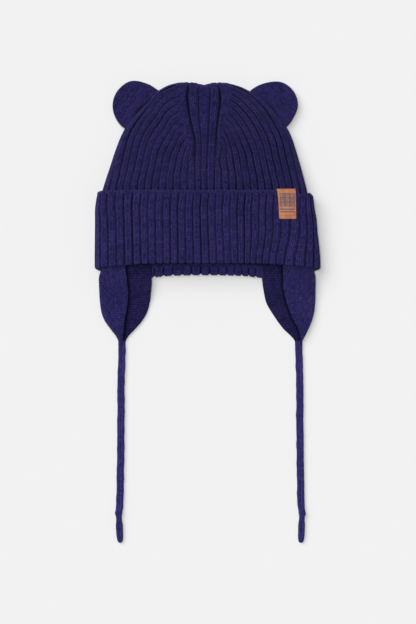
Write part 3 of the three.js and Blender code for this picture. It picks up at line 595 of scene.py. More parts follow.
class Layer:
    """How deep one face of the crown's wall lies, how strong its ribs are, and how finely it is drawn."""

    def __init__(self, inset, relief, across, fan, strip, tube):
        self.inset, self.relief, self.tube = inset, relief, tube
        self.across = np.linspace(0, 1, across)
        self.fan = np.linspace(0, 1, fan)
        self.strip = np.linspace(0, 1, strip)

    def wall(self, row, face, depth):
        """Points along a row of the wall, from the gathering point to the side edge."""
        plan, reach = row
        run = reach - CROWN_EDGE
        s = self.across * (run + CROWN_EDGE * math.pi / 2)
        flat = np.minimum(s, run)
        angle = (s - flat) / CROWN_EDGE
        radius = CROWN_EDGE - self.inset - depth * self.relief
        x, y = plan((flat + radius * np.sin(angle)) / reach, outward(flat, run, angle))
        z = level(y) + face * radius * np.cos(angle) + puff_at(face, flat / run)
        return stacked(x, y, z)


OUTER_TUBE = np.concatenate([np.linspace(0, 0.26, 14), steps(0.26, 1, 9)])  # finest above the cuff
OUTER = Layer(inset=0, relief=1, across=163, fan=71, strip=13, tube=OUTER_TUBE)
INNER = Layer(inset=KNIT, relief=0.3, across=55, fan=11, strip=3, tube=np.linspace(0, 1, 9))


def ray_row(foot, edge, bow, low):
    """A row from a gathering point to the outline, bowed sideways near the outline and low down."""
    def plan(share, _):
        low_share = np.minimum(1, share / LOW_BOW_END)
        aside = bow * np.sin(math.pi * share**3) + low * np.sin(math.pi * low_share) ** 2
        return mix(foot, edge[0], share) + aside, mix(GATHER_Y, edge[1], share)

    return plan, math.hypot(edge[0] - foot, edge[1] - GATHER_Y)


def tube_row(side, face, s):
    """A row below the gathering point; s is 0 at the fan and 1 at the crown's lower edge."""
    start_x, start_y = CROWN_OUTLINE[side]["x"][0], CROWN_OUTLINE[side]["y"][0]
    edge_y = mix(start_y, rim_y(face, 1.0) + CROWN_FOOT, s)
    edge_x = float(crown_edge_x(side, edge_y))
    full = math.hypot(start_x - GATHER[side], start_y - GATHER_Y)
    reach = mix(full, abs(edge_x - GATHER[side]), min(1, TUBE_EASE * s))

    def plan(share, out):
        down = mix(mix(GATHER_Y, start_y, out), rim_y(face, out) + CROWN_FOOT, s)
        return mix(GATHER[side], edge_x, share), down

    return plan, reach


def gripped(y):
    """How far the cuff draws the crown in just above its top edge."""
    return GRIP * bell(y - CUFF_TOP - GRIP_ABOVE, GRIP_WIDTH)


def line_depth(i, u):
    """Depth of one of the middle lines on its way up."""
    is_outermost = i in (0, MIDDLE_STRIPS)
    rise = np.minimum(1, u / OUTER_LINE_RISE) if is_outermost else smooth(u, *LINE_RISE)
    return mix(RIB_GROOVE, MIDDLE["depth"][i], rise) * (1 - TOP_FADE_BY * smooth(u, *TOP_FADE))


def strip_depth(i, u, w):
    """Depth across the strip between two neighbouring middle lines."""
    foot_width = MIDDLE["foot"][i + 1] - MIDDLE["foot"][i]
    width = mix(foot_width, MIDDLE["x"][i + 1] - MIDDLE["x"][i], u)
    left = line_depth(i, u) * bell(w * width, MIDDLE["width"][i])
    right = line_depth(i + 1, u) * bell((1 - w) * width, MIDDLE["width"][i + 1])
    dip = WALE_DIP * bell((w - 0.5) * width, DIP_WIDTH) * smooth(width, *DIP_FROM)
    return np.maximum(left, right) + dip


def panel_ribs(side, t, u, pitch):
    """Places along a row of a side panel, in ribs from the middle, and how deep the knit lies there."""
    up = max(t, 0)
    at_line = np.maximum((u - LINE_START[side]) / LINE_PITCH[side], LINE_LEAST)
    place = mix(u * SIDE_RIBS, at_line, up ** mix(*LEAN[side], u))
    place = place + UNEVEN * np.sin(math.pi * u) * waves(u * STRAYS[0], t * STRAYS[1], seed=1)
    vary = 1 + VARY * waves(place * VARIES[0], t * VARIES[1], seed=8)
    vary *= 1 - TOP_FLATTER * up**2
    vary *= 1 - smooth(place, *ROLL_BAND) * smooth(t, ROLL_FROM[side], ROLL_FROM[side] + ROLL_EASE)
    beside_ear = (EAR_ROOTS["strength"] * bell(t - EAR_ROOTS["at"], EAR_ROOTS["width"])).sum()
    more = EAR_GROOVE_MORE * beside_ear * bell(place - EAR_GROOVE, EAR_GROOVE_WIDTH)
    return place, rib_depth(place, pitch) * vary + more


def side_panel(shell, layer, side, face):
    """One side of the crown, up to its decrease line; returns its lower edge."""
    outline = CROWN_OUTLINE[side]
    line = 0 if side == LEFT else MIDDLE_STRIPS
    edge_x, edge_y, arc = evenly_along(outline["x"], outline["y"], len(layer.fan))
    u = layer.across
    at_end = strip_depth(0, u, 0) if side == LEFT else strip_depth(MIDDLE_STRIPS - 1, u, 1)
    rows, knit = [], []

    def add(row, t, along, ending):
        place, depth = panel_ribs(side, t, u, row[1] / SIDE_RIBS)
        depth = mix(depth, at_end, ending)
        depth[0] = RIB_GROOVE
        points = layer.wall(row, face, depth)
        grip = gripped(points[:, 1]) * (1 - u**8)
        points[:, 2] -= face * grip
        rows.append(points)
        knit.append(stacked(place, along / COURSE, CROWN_SHADE[side] * depth + GRIP_SHADE * grip))

    for s in layer.tube[:0:-1]:
        add(tube_row(side, face, s), -s, -s * TUBE_LENGTH, 0)
    for t, x, y in zip(layer.fan, edge_x, edge_y):
        row = ray_row(GATHER[side], (x, y), MIDDLE["bow"][line] * t**2, MIDDLE["low"][line] * t**4)
        ending = 1 - smooth((1 - t) * arc * u, 0, DECREASE_BAND)
        add(row, t, t * arc * u, ending)
    return shell.grid(rows, knit)[0]


def middle_strips(shell, layer, face):
    """The ribs between the middle lines, above the gathering points."""
    u = layer.across
    for i in range(MIDDLE_STRIPS):
        rows, knit = [], []
        for w in layer.strip:
            foot, x, y, bow, low = (mix(MIDDLE[key][i], MIDDLE[key][i + 1], w) for key in MIDDLE_PATH)
            dent = TOP_DENT * math.sin(math.pi * w) if i == MIDDLE_STRIPS // 2 else 0
            row = ray_row(foot, (x, y - dent), bow, low)
            depth = strip_depth(i, u, w)
            rows.append(layer.wall(row, face, depth))
            knit.append(stacked(i + w, u * row[1] / COURSE, CROWN_SHADE[LEFT] * depth))
        shell.grid(rows, knit)


def middle_block(shell, layer, face):
    """The ribs between the gathering points, from there down; returns their lower edge."""
    per_rib = len(layer.strip) - 1
    place = 1 + np.arange(BLOCK_STRIPS * per_rib + 1) / per_rib
    feet = np.interp(place, np.arange(MIDDLE_STRIPS + 1), MIDDLE["foot"])
    strip = np.minimum(place.astype(int), BLOCK_STRIPS)
    even = rib_depth(place, np.diff(MIDDLE["foot"])[strip])
    at_top = np.array([strip_depth(i, 0.0, p - i) for i, p in zip(strip, place)])
    rows, knit = [], []
    for s in layer.tube:
        y = mix(GATHER_Y, float(rim_y(face, 0.0)) + CROWN_FOOT, s)
        grip = float(gripped(y))
        depth = mix(at_top, even, smooth(s, 0, BLOCK_EASE))
        z = level(y) + face * (CROWN_EDGE - layer.inset - depth * layer.relief - grip)
        rows.append(stacked(feet, y, z + puff_at(face, 0)))
        knit.append(stacked(place, -s * TUBE_LENGTH / COURSE, CROWN_SHADE[LEFT] * depth + GRIP_SHADE * grip))
    return shell.grid(rows, knit)[-1]


def make_crown(material):
    shell = Shell()
    for face in (FRONT, BACK):
        edges = []
        for layer in (OUTER, INNER):
            middle_strips(shell, layer, face)
            edges.append([
                side_panel(shell, layer, LEFT, face),
                middle_block(shell, layer, face),
                side_panel(shell, layer, RIGHT, face),
            ])
        for outer, inner in zip(*edges):
            shell.zip(outer, inner)
    crown = shell.build("crown_knit", material)
    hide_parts("crown")


# Cuff

def rib_drift(face, rib, y):
    """How far a rib leans sideways from an even spacing."""
    if face == BACK:
        return lookup(BACK_DRIFT, "fold", rib) * (1 - smooth(y - RIM["back"][0], *BACK_DRIFT_ENDS))
    top, middle, fold = (lookup(RIB_DRIFT, column, rib) for column in ("top", "middle", "fold"))
    middle_y = (CUFF_TOP + RIM["front"][0]) / 2
    up = (y - middle_y) / (CUFF_TOP - middle_y)
    return np.where(up > 0, mix(middle, top, smooth(up, 0, 1)), mix(middle, fold, smooth(-up, 0, 1)))


def cuff_turn(face, rib, y):
    """Side, flat run and turn at which a rib lies at a height."""
    radius = level(np.minimum(y, CUFF_TOP))
    reach = {side: side * (cuff_edge_x(side, y) - GATHER[side]) for side in (LEFT, RIGHT)}
    length = {side: reach[side] + radius * (math.pi / 2 - 1) for side in (LEFT, RIGHT)}
    middle = GATHER[RIGHT] - GATHER[LEFT]
    s = rib / CUFF_RIBS * (length[LEFT] + middle + length[RIGHT])
    on_left = s < length[LEFT] + middle / 2
    from_middle = np.where(on_left, length[LEFT] - s, s - length[LEFT] - middle)
    run = np.where(on_left, reach[LEFT], reach[RIGHT]) - radius
    flat = np.minimum(from_middle, run)
    angle = (from_middle - flat) / radius
    toward = np.where(on_left, LEFT, RIGHT)
    flat = flat + toward * rib_drift(face, rib, y) * np.cos(angle)
    return flat, run, angle, radius, toward


def cuff_points(face, rib, y, depth):
    flat, run, angle, radius, toward = cuff_turn(face, rib, y)
    start = np.where(toward == LEFT, GATHER[LEFT], GATHER[RIGHT])
    x = start + toward * (flat + (radius - depth) * np.sin(angle))
    z = radius + face * (radius - depth) * np.cos(angle) + puff_at(face, flat / run)
    return stacked(x, y, z)


def cuff_stations(face, rib):
    """Height, depth and rib relief round the J-shaped section, from the inner top edge back to itself."""
    flat, run, angle, _, toward = cuff_turn(face, rib, np.full_like(rib, CUFF_TOP))
    share = outward(flat, run, angle)
    left, right = (lookup(TOP_CORNERS, name, share) for name in ("left", "right"))
    flat, run, angle, _, _ = cuff_turn(face, rib, np.full_like(rib, RIM["front"][0]))
    foot = rim_y(face, outward(flat, run, angle))
    groove = rib_depth(rib + 0.5, RIB_PITCH) * (1 + VARY * waves(rib * 2.1, 0, seed=9))
    top = CUFF_TOP - np.where(toward == LEFT, left, right) - TOP_NOTCH * groove / RIB_GROOVE
    bare = 0 * rib
    proud_edge = EDGE_PROUD * (1 - share**8) if face == FRONT else bare
    half = KNIT / 2
    for a in np.linspace(0, math.pi, EDGE_STEPS):
        proud = proud_edge * smooth(a, *EDGE_TURN)
        yield top - half + half * math.sin(a), half * (1 + math.cos(a)) - proud, bare
    for t in steps(0, 1, FACE_STEPS):
        y = mix(top - half, foot + FOLD_RADIUS, t)
        below = top - y
        line = EDGE_LINE * bell(below - EDGE_LINE_AT, EDGE_LINE_WIDTH)
        depth = groove * smooth(below, *RIBS_BEGIN) + line - proud_edge * (1 - smooth(below, *EDGE_ENDS))
        yield y, depth, np.maximum(depth, 0)
    for a in steps(0, math.pi, FOLD_STEPS):
        round_by = FOLD_RADIUS - groove
        yield foot + FOLD_RADIUS - round_by * math.sin(a), FOLD_RADIUS - round_by * math.cos(a), groove
    end = INNER_LEG - half
    for y in steps(FOLD_RADIUS, end, LEG_STEPS):
        relief = groove * (1 - smooth(y, INNER_LEG - INNER_FADE, end))
        yield foot + y, 2 * FOLD_RADIUS - relief, relief
    for a in steps(0, math.pi, LEG_END_STEPS):
        yield foot + end + half * math.sin(a), 2 * FOLD_RADIUS - half + half * math.cos(a) + bare, bare
    bottom = foot + FOLD_RADIUS + half
    yield bottom, KNIT + SEAT + bare, bare
    yield bottom, KNIT + bare, bare
    for t in steps(0, 1, INSIDE_STEPS):
        yield mix(bottom, top - half, t), KNIT + bare, bare


def make_cuff(material):
    shell = Shell()
    count = CUFF_RIBS * RIB_STEPS + 1
    for face in (FRONT, BACK):
        rib = np.linspace(0, CUFF_RIBS, count)[::face]
        stations = list(cuff_stations(face, rib))
        rows = np.array([cuff_points(face, rib, y, depth) for y, depth, _ in stations])
        relief = np.array([relief for *_, relief in stations])
        # lighter tone on the cuff's outside, and painted light on the inside of the rim
        lighter = np.where(np.arange(len(stations)) < INNER_FROM, CUFF_LIGHTER, RIM_PAINTED_LIGHT)[:, None]
        along = lengths_along(rows[:, count // 2])[:, None] / COURSE
        shell.grid(rows, stacked(rib + 0.5, -along, relief, lighter))
    cuff = shell.build("cuff_knit", material)
    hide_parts("cuff")


# Ears

def ear_reach(side, centre, angles):
    """Distance from the ear's centre to its rim or, if nearer, the crown's edge, and 1 beside that edge."""
    x, y, _ = evenly_along(CROWN_OUTLINE[side]["x"], CROWN_OUTLINE[side]["y"], OUTLINE_STEPS)
    edge = stacked(x, y)
    away = edge - outward_normal(edge) * EAR_OVERLAP - centre
    bearing = np.unwrap(np.arctan2(away[:, 1], away[:, 0]))
    order = np.argsort(bearing)
    turned = np.degrees(angles) if side == RIGHT else 180 - np.degrees(angles)
    free = EAR_RADIUS + lookup(EAR_RIM, SIDE_NAMES[side], (turned + 90) % 360 - 90)
    reach = free
    for turn in (-2 * math.pi, 0, 2 * math.pi):
        found = np.interp(angles + turn, bearing[order], np.hypot(*away.T)[order], left=np.inf, right=np.inf)
        reach = np.minimum(reach, found)
    return reach, smooth(free - reach, 0, EAR_SEATED)


def outward_normal(edge):
    """Unit normals of the crown's outline that point away from the hat's middle."""
    along = np.gradient(edge, axis=0)
    normal = stacked(along[:, 1], -along[:, 0])
    normal /= np.linalg.norm(normal, axis=1)[:, None]
    middle = np.array([0, GATHER_Y])
    return normal * np.sign(((edge - middle) * normal).sum(1))[:, None]


def make_ear(side, material):
    centre = np.array(EAR_CENTRES[side])
    angles = np.linspace(0, 2 * math.pi, EAR_STEPS)
    reach, seated = ear_reach(side, centre, angles)
    grain, crease = math.radians(EAR_GRAIN[side]), math.radians(EAR_CREASE[side])
    shell = Shell()
    for face in (FRONT, BACK):
        rows, knit = [], []
        for share in EAR_RINGS:
            r = reach * share
            x, y = r * np.cos(angles), r * np.sin(angles)
            inward = np.clip((reach - r) / EAR_EDGE, 0, 1)
            half = EAR_HALF * mix(EAR_MIDDLE, 1, share**2) * np.sqrt(1 - (1 - inward) ** 2)
            from_crease = x * math.sin(crease) - y * math.cos(crease)
            fold = EAR_FOLD * bell(from_crease, EAR_FOLD_WIDTH) * (1 - share**2)
            cup = EAR_CUP * (r / EAR_RADIUS) ** 2 - EAR_CUP / 2
            dent = EAR_DENT * waves(x / EAR_DENT_SIZE, y / EAR_DENT_SIZE, seed=3 + side)
            follow = 1 if face == FRONT else mix(EAR_BACK_FOLLOWS, 1, share**6)
            z = EAR_HEIGHT + face * half + (fold + cup + dent) * follow
            rows.append(stacked(centre[0] + x, centre[1] + y, z))
            across = (x * math.cos(grain) - y * math.sin(grain)) / WALE
            along = (x * math.sin(grain) + y * math.cos(grain)) / COURSE
            shade = seated * sum(strength * bell(reach - r, width) for strength, width in EAR_SHADES)
            knit.append(stacked(across, along, shade))
        shell.grid(rows, knit)
    ear = shell.build(f"ear_knit_{SIDE_NAMES[side]}", material)
    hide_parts(f"ear_{SIDE_NAMES[side]}")


# Ear flaps

def hollow_at(side, x, y):
    """Floor and roof of the hat's hollow near its side."""
    edge_x = float(crown_edge_x(side, min(y, RIM["front"][0])))
    run = abs(edge_x - GATHER[side]) - CROWN_EDGE
    across = np.abs(x - GATHER[side])
    radius = CROWN_EDGE - KNIT
    past = np.clip((across - run) / radius, 0, 1)
    lift = radius * np.sqrt(1 - past**2)
    middle = level(RIM["front"][0])
    return middle - lift, middle + lift + puff_at(FRONT, across / run)


def flap_line(side, y):
    """The folded sheet's middle line at one height, from the back half's edge round to the front half's."""
    fold, front, back = (float(lookup(FLAPS[side], column, y)) for column in ("fold", "front", "back"))
    rise, lift, thin = (smooth(y, *heights) for heights in (FLAP_RISE, FLAP_LIFT, FLAP_THIN))
    half = JERSEY / 2 * mix(FLAP_TIP_KNIT, 1, thin)
    gap = FLAP_FOLD_GAP * mix(FLAP_TIP_GAP, 1, thin)

    def lower(x):
        return mix(REST, hollow_at(side, x, y)[0] + SEAT, rise) + half

    def upper(x):
        return mix(REST + 2 * half + gap, hollow_at(side, x, y)[1] - SEAT - 2 * half, lift) + half

    turn = min(half + gap / 2, abs(fold - front) * FLAP_TURN_MOST)
    turn_x = fold - side * (half + turn)
    back_x = mix(back + side * half, turn_x, np.linspace(0, 1, FLAP_BACK_STEPS))
    front_x = mix(turn_x, front + side * half, np.linspace(0, 1, FLAP_FRONT_STEPS))
    turn_z = mix(lower(turn_x), upper(turn_x), 0.5 + 0.5 * np.sin(FLAP_TURN))
    x = np.concatenate([back_x, turn_x + side * turn * np.cos(FLAP_TURN), front_x])
    return stacked(x, np.concatenate([lower(back_x), turn_z, upper(front_x)])), half


def make_flap(side, material):
    cut = FLAPS[side]
    pad = len(END_ANGLES) + 1
    rows, knit = [], []
    for y in np.linspace(cut["y"][-1], cut["y"][0], FLAP_ROWS):
        line, half = flap_line(side, y)
        ring = strip_ring(line, half)
        ring[:, 1] = np.maximum(ring[:, 1], REST)
        along = lengths_along(line)
        along = np.pad(along - along[FLAP_BACK_STEPS + len(FLAP_TURN) // 2], pad, mode="edge")
        back_half = ring_values(np.arange(len(along)) < pad + FLAP_BACK_STEPS)
        first_side = np.arange(len(ring)) < len(along)
        inner = first_side if side == RIGHT else ~first_side
        beyond = np.maximum(-side * (ring[:, 0] - float(lookup(cut, "front", y))), 0)
        shade = np.where(inner & back_half, FLAP_SHADE * bell(beyond, FLAP_SHADE_WIDTH), 0)
        places = ring_values(along) / WALE + np.where(inner, PURL_SIDE, 0)
        rows.append(stacked(ring[:, 0], y, ring[:, 1]))
        knit.append(stacked(places, y / COURSE, shade, np.where(inner, 0, FLAP_LIGHTER)))
    shell = Shell()
    shell.tube(closed(rows), closed(knit))
    flap = shell.build(f"ear_flap_knit_{SIDE_NAMES[side]}", material)
    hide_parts(f"ear_flap_{SIDE_NAMES[side]}")


# Ties

def tie_course(side):
    """Middle, height on the page, half width, thickness and slit of a tie at each step from flap to tip."""
    ends = TIE_ENDS[side]
    keys = np.concatenate([TIE_ROUTES["y"], ends["y"]])
    tip = keys[-1]
    y = np.concatenate([np.arange(keys[0], tip + TIP_ROUND, -TIE_STEP), tip + TIP_STEPS])

    def along(upper, column):
        values = np.concatenate([np.broadcast_to(upper, len(TIE_ROUTES["y"])), ends[column]])
        return curve_at(keys[::-1], values[::-1], y)

    x, slit = along(TIE_ROUTES[SIDE_NAMES[side]], "x"), along(TIE_VALLEY, "slit")
    half, thick = along(TIE_WIDTH / 2, "half"), along(TIE_THICKNESS, "thick")
    grown = smooth(-y, *TIE_GROWS)
    rounded = np.sqrt(1 - (1 - np.clip((y - tip) / TIP_ROUND, 0, 1)) ** 2)
    half = half * mix(TIE_START[0], 1, grown) * mix(TIE_TIP[0], 1, rounded)
    thick = thick * mix(TIE_START[1], 1, grown) * mix(TIE_TIP[1], 1, rounded)
    loose = np.where(y > ends["y"][0], 1.0, END_CALM)
    x = x + TIE_SWAY * loose * waves(y / SWAY_LENGTH, 0, seed=5 + side)
    half = half * (1 + TIE_PINCH * loose * waves(y / PINCH_LENGTH, 1, seed=7 + side))
    return x, y, half, thick, slit


def make_tie(side, material):
    name = SIDE_NAMES[side]
    x, ys, half, thick, slit = tie_course(side)
    across, up = tie_section()
    turns = np.linspace(0, TIE_WALES, len(across))
    rows, knit = [], []
    for i, y in enumerate(ys):
        valley = slit[i] / thick[i] * bell(across, VALLEY_WIDTH) * (up > 0.5)
        z = TIE_LIFT + thick[i] * np.clip(up - valley, 0, 1)
        rows.append(stacked(x[i] + half[i] * across, y, z))
        knit.append(stacked(turns, y / TIE_COURSE))
    shell = Shell()
    shell.tube(rows, knit)
    tie = shell.build(f"tie_knit_{name}", material)
    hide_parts(f"tie_{name}", f"tie_end_{name}")
    path = stacked(x, ys, TIE_LIFT + thick / 2) * MM
    length = float(lengths_along(path[::6])[-1])


def tie_section():
    """Outline of a tie as shares of its half width and its thickness: two rolls with a flat underside."""
    angles = np.linspace(0, 2 * math.pi, TIE_AROUND)
    across = np.sign(np.cos(angles)) * np.abs(np.cos(angles)) ** TIE_SIDE
    rise = np.abs(np.sin(angles))
    upper, under = mix(TIE_WAIST, 1, rise**TIE_TOP), TIE_WAIST * (1 - rise**TIE_UNDER)
    return across, np.where(np.sin(angles) > 0, upper, under)


# Label

def label_surface(x, y, depth):
    radius = level(np.minimum(y, CUFF_TOP))
    run = cuff_edge_x(RIGHT, y) - GATHER[RIGHT] - radius
    return 2 * radius - depth + puff_at(FRONT, (x - GATHER[RIGHT]) / run)


def label_x(across, y):
    down = np.clip((CUFF_TOP - y) / (CUFF_TOP - LABEL_BOTTOM), 0, 1) ** LABEL_FLARE
    return mix(mix(*LABEL_TOP, across), mix(*LABEL_FOOT, across), down)


def label_line(across, bottom):
    """The label's middle line at one place across it, from its hidden leg over the cuff's top edge down."""
    half = LABEL_THICKNESS / 2
    clear = SEAT + half
    line = []
    for y in CUFF_TOP - np.array(LABEL_HIDDEN):
        line.append((y, label_surface(label_x(across, y), y, KNIT) - cuff_gap(y) / 2))
    for share in LABEL_OVER:
        bulge = clear * (LABEL_BULGE[0] + LABEL_BULGE[1] * math.sin(math.pi * share))
        line.append((CUFF_TOP + bulge, label_surface(label_x(across, CUFF_TOP), CUFF_TOP, KNIT * share)))
    for y in np.linspace(CUFF_TOP - 2 * half, bottom, LABEL_STEPS):
        line.append((y, label_surface(label_x(across, y), y, 0) + clear))
    line = np.array(line, float)
    for _ in range(2):
        line[1:-1] = (line[:-2] + 2 * line[1:-1] + line[2:]) / 4
    return line


def make_label(material):
    width = LABEL_TOP[1] - LABEL_TOP[0]
    rows, knit = [], []
    for across in np.concatenate([LABEL_INSETS / width, LABEL_INNER_SHARES, 1 - LABEL_INSETS[::-1] / width]):
        inset = min(across, 1 - across) * width
        corner = max(0, LABEL_CORNER - inset)
        bottom = LABEL_BOTTOM + LABEL_CORNER - math.sqrt(LABEL_CORNER**2 - corner**2)
        rounded = math.sqrt(1 - (1 - min(1, inset / LABEL_ROUND)) ** 2)
        ring = strip_ring(label_line(across, bottom), LABEL_THICKNESS / 2 * mix(LABEL_RIM, 1, rounded))
        y, z = ring.T
        rows.append(stacked(label_x(across, y), y, z))
        knit.append(stacked(across, 1 - (CUFF_TOP - y) / (CUFF_TOP - LABEL_BOTTOM)))
    shell = Shell()
    shell.tube(closed(rows), closed(knit))
    label = shell.build("label_leather", material)
    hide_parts("label")


def make_label_stitches(material):
    """A row of short thread stitches across the foot of the label."""
    work = bmesh.new()
    y = LABEL_BOTTOM + STITCH_UP
    for across in STITCHES_ACROSS:
        x = float(label_x(across, y))
        z = float(label_surface(x, y, 0)) + SEAT + LABEL_THICKNESS + STITCH_PROUD
        made = bmesh.ops.create_icosphere(work, subdivisions=2, radius=1)["verts"]
        bmesh.ops.scale(work, verts=made, vec=Vector(STITCH_SIZE) * MM)
        bmesh.ops.translate(work, verts=made, vec=Vector((x, y, z)) * MM)
    for face in work.faces:
        face.smooth = True
    mesh = bpy.data.meshes.new("label_stitches")
    work.to_mesh(mesh)
    work.free()
    place_piece("label_stitches", mesh, material)


# Materials

class Nodes:
    """A material's node tree, with short calls to add to it."""

    def __init__(self, name):
        self.material = bpy.data.materials.new(name)
        self.material.use_nodes = True
        self.tree = self.material.node_tree
        self.shader = next(n for n in self.tree.nodes if n.type == "BSDF_PRINCIPLED")

    def link(self, source, target):
        if isinstance(source, bpy.types.NodeSocket):
            self.tree.links.new(source, target)
        else:
            target.default_value = source

    def add(self, kind, inputs=(), output=0, **settings):
        """Adds a node with a value or another node's output for each input, and returns one output."""
        node = self.tree.nodes.new(kind)
        for key, value in settings.items():
            setattr(node, key, value)
        for key, source in dict(inputs).items():
            self.link(source, node.inputs[key])
        return node.outputs[output]

    def math(self, operation, *sources):
        return self.add("ShaderNodeMath", enumerate(sources), operation=operation)

    def times(self, a, b):
        return self.math("MULTIPLY", a, b)

    def plus(self, a, b):
        return self.math("ADD", a, b)

    def minus(self, a, b):
        return self.math("SUBTRACT", a, b)

    def size(self, value):
        return self.math("ABSOLUTE", value)

    def part(self, value):
        """What is past the last whole number."""
        return self.math("FRACT", value)

    def uv(self, name="Knit"):
        place = self.add("ShaderNodeUVMap", uv_map=name)
        return [self.add("ShaderNodeSeparateXYZ", {0: place}, axis) for axis in (0, 1)]

    def vector(self, x, y):
        return self.add("ShaderNodeCombineXYZ", {0: x, 1: y})

    def noise(self, scale, detail=2.0, roughness=0.5, at=None):
        at = at or self.add("ShaderNodeTexCoord", output="Object")
        inputs = {"Vector": at, "Scale": scale, "Detail": detail, "Roughness": roughness}
        return self.add("ShaderNodeTexNoise", inputs)

    def ramp(self, value, low, high):
        """0 below low, 1 above high, and smooth between."""
        inputs = {"Value": value, "From Min": low, "From Max": high}
        return self.add("ShaderNodeMapRange", inputs, interpolation_type="SMOOTHSTEP")

    def mix(self, factor, a, b, blend="MIX"):
        inputs = {"Factor": factor, 6: a, 7: b}
        return self.add("ShaderNodeMix", inputs, 2, data_type="RGBA", blend_type=blend)

    def choose(self, second, a, b):
        """Value a, or b where second is 1."""
        return self.add("ShaderNodeMix", {"Factor": second, 2: a, 3: b}, data_type="FLOAT")

    def shade(self, colour, value):
        """A colour times a brightness."""
        grey = self.add("ShaderNodeCombineColor", {0: value, 1: value, 2: value})
        return self.mix(1.0, colour, grey, "MULTIPLY")

    def relief(self, strength, low, high):
        """Painted shade that deepens with the depth in the knit, and brightness that rises where a place is
        marked lighter.
        """
        depth, lighter = self.uv("Relief")
        dark = self.minus(1.0, self.times(self.ramp(depth, low, high), strength))
        return self.times(dark, self.plus(1.0, lighter))

    def hump(self, value, power):
        """A hump between 0 and 1 over each unit of a value."""
        swing = self.minus(self.times(self.part(value), 2.0), 1.0)
        return self.minus(1.0, self.math("POWER", self.size(swing), power))

    def cell(self, x, y):
        """A random brightness round 1 for each unit square."""
        square = self.vector(self.math("FLOOR", x), self.math("FLOOR", y))
        chance = self.add("ShaderNodeTexWhiteNoise", {"Vector": square}, "Value", noise_dimensions="2D")
        return self.plus(1 - MOTTLE, self.times(chance, 2 * MOTTLE))

    def bump(self, height, distance):
        bump = self.add("ShaderNodeBump", {"Height": height, "Distance": distance, "Strength": 1.0})
        self.link(bump, self.shader.inputs["Normal"])

    def finish(self, colour, **sockets):
        self.link(colour, self.shader.inputs["Base Color"])
        for key, value in sockets.items():
            self.shader.inputs[key.replace("_", " ").title().replace("Ior", "IOR")].default_value = value
        return self.material


def stocking_stitch(n, across, along):
    """Height and brightness of rows of V-shaped stitches; across counts columns and along counts rows."""
    from_middle = n.size(n.minus(n.part(across), 0.5))
    leg = n.times(n.size(n.minus(from_middle, 0.25)), 4.0)
    rounded = n.minus(1.0, n.math("POWER", leg, 2.0))
    row = n.minus(along, n.times(from_middle, STITCH_SLOPE))
    height = n.times(rounded, n.plus(1 - ROW_RELIEF, n.times(n.hump(row, 2.5), ROW_RELIEF)))
    return height, n.cell(n.times(across, 2.0), row)


def purl_stitch(n, across, along):
    """Height and brightness of rows of arched bumps, as on the inner face of plain knit."""
    row = n.plus(along, n.times(n.math("SINE", n.times(across, 2 * math.pi)), PURL_SWAY))
    beat = n.times(n.math("COSINE", n.times(across, 4 * math.pi)), PURL_BEAT)
    height = n.times(n.hump(row, 2.0), n.plus(PURL_HEIGHT, beat))
    return height, n.cell(n.times(across, 2.0), row)


def yarn_colour(n, across, along):
    """Indigo yarn that runs from blue to purple in streaks along the columns and in soft patches."""
    place = n.vector(n.times(across, STREAK_SCALE[0]), n.times(along, STREAK_SCALE[1]))
    streak = n.noise(scale=1.0, detail=3.0, at=place)
    patch = n.noise(scale=45.0, detail=3.0)
    fleck = n.noise(scale=850.0, detail=2.0, roughness=0.7)
    tone = n.plus(n.times(streak, STREAK_SHARE), n.times(patch, 1 - STREAK_SHARE))
    return n.shade(n.mix(n.ramp(tone, *TONES), YARN_BLUE, YARN_PURPLE), n.times(fleck, 2.0))


def finish_knit(n, height, shadow, stitch, across, along):
    fuzz = n.noise(scale=1600.0, detail=3.0, roughness=0.7)
    n.bump(n.plus(height, n.times(fuzz, FUZZ)), STITCH_RELIEF)
    # Painted shade between the stitches, times the brightness passed in, which holds the painted shade of
    # grooves and creases where there is any
    lit = n.times(shadow, n.plus(BETWEEN_STITCHES, n.times(height, ON_STITCHES)))
    return n.finish(
        n.shade(yarn_colour(n, across, along), n.times(lit, stitch)),
        roughness=0.95, specular_ior_level=0.06, sheen_weight=0.22, sheen_roughness=0.45, sheen_tint=SHEEN,
    )


def rib_material():
    n = Nodes("indigo_rib")
    across, along = n.uv()
    columns = n.math("DIVIDE", n.size(n.minus(n.part(across), 0.5)), WALE_SHARE)
    own = n.plus(columns, n.times(n.math("FLOOR", across), 4.0))
    height, stitch = stocking_stitch(n, own, along)
    # painted shade in the grooves and in the crease above the cuff, and painted light inside the rim
    shadow = n.relief(strength=0.88, low=0.25, high=1.45)
    return finish_knit(n, height, shadow, stitch, n.times(across, 2.0), along)


def jersey_material():
    """Plain knit: V-shaped stitches outside, purl bumps where the place across is past PURL_SIDE."""
    n = Nodes("indigo_jersey")
    across, along = n.uv()
    inner = n.math("GREATER_THAN", across, PURL_SIDE / 2)
    outside, inside = stocking_stitch(n, across, along), purl_stitch(n, across, along)
    height, stitch = (n.choose(inner, a, b) for a, b in zip(outside, inside))
    light = n.choose(inner, OUTSIDE_LIGHT, PURL_LIGHT)
    shadow = n.times(light, n.relief(strength=0.8, low=0.0, high=1.7))
    return finish_knit(n, height, shadow, stitch, across, along)


def tie_material():
    n = Nodes("indigo_tie")
    across, along = n.uv()
    height, stitch = stocking_stitch(n, across, along)
    return finish_knit(n, height, TIE_LIGHT, stitch, across, along)


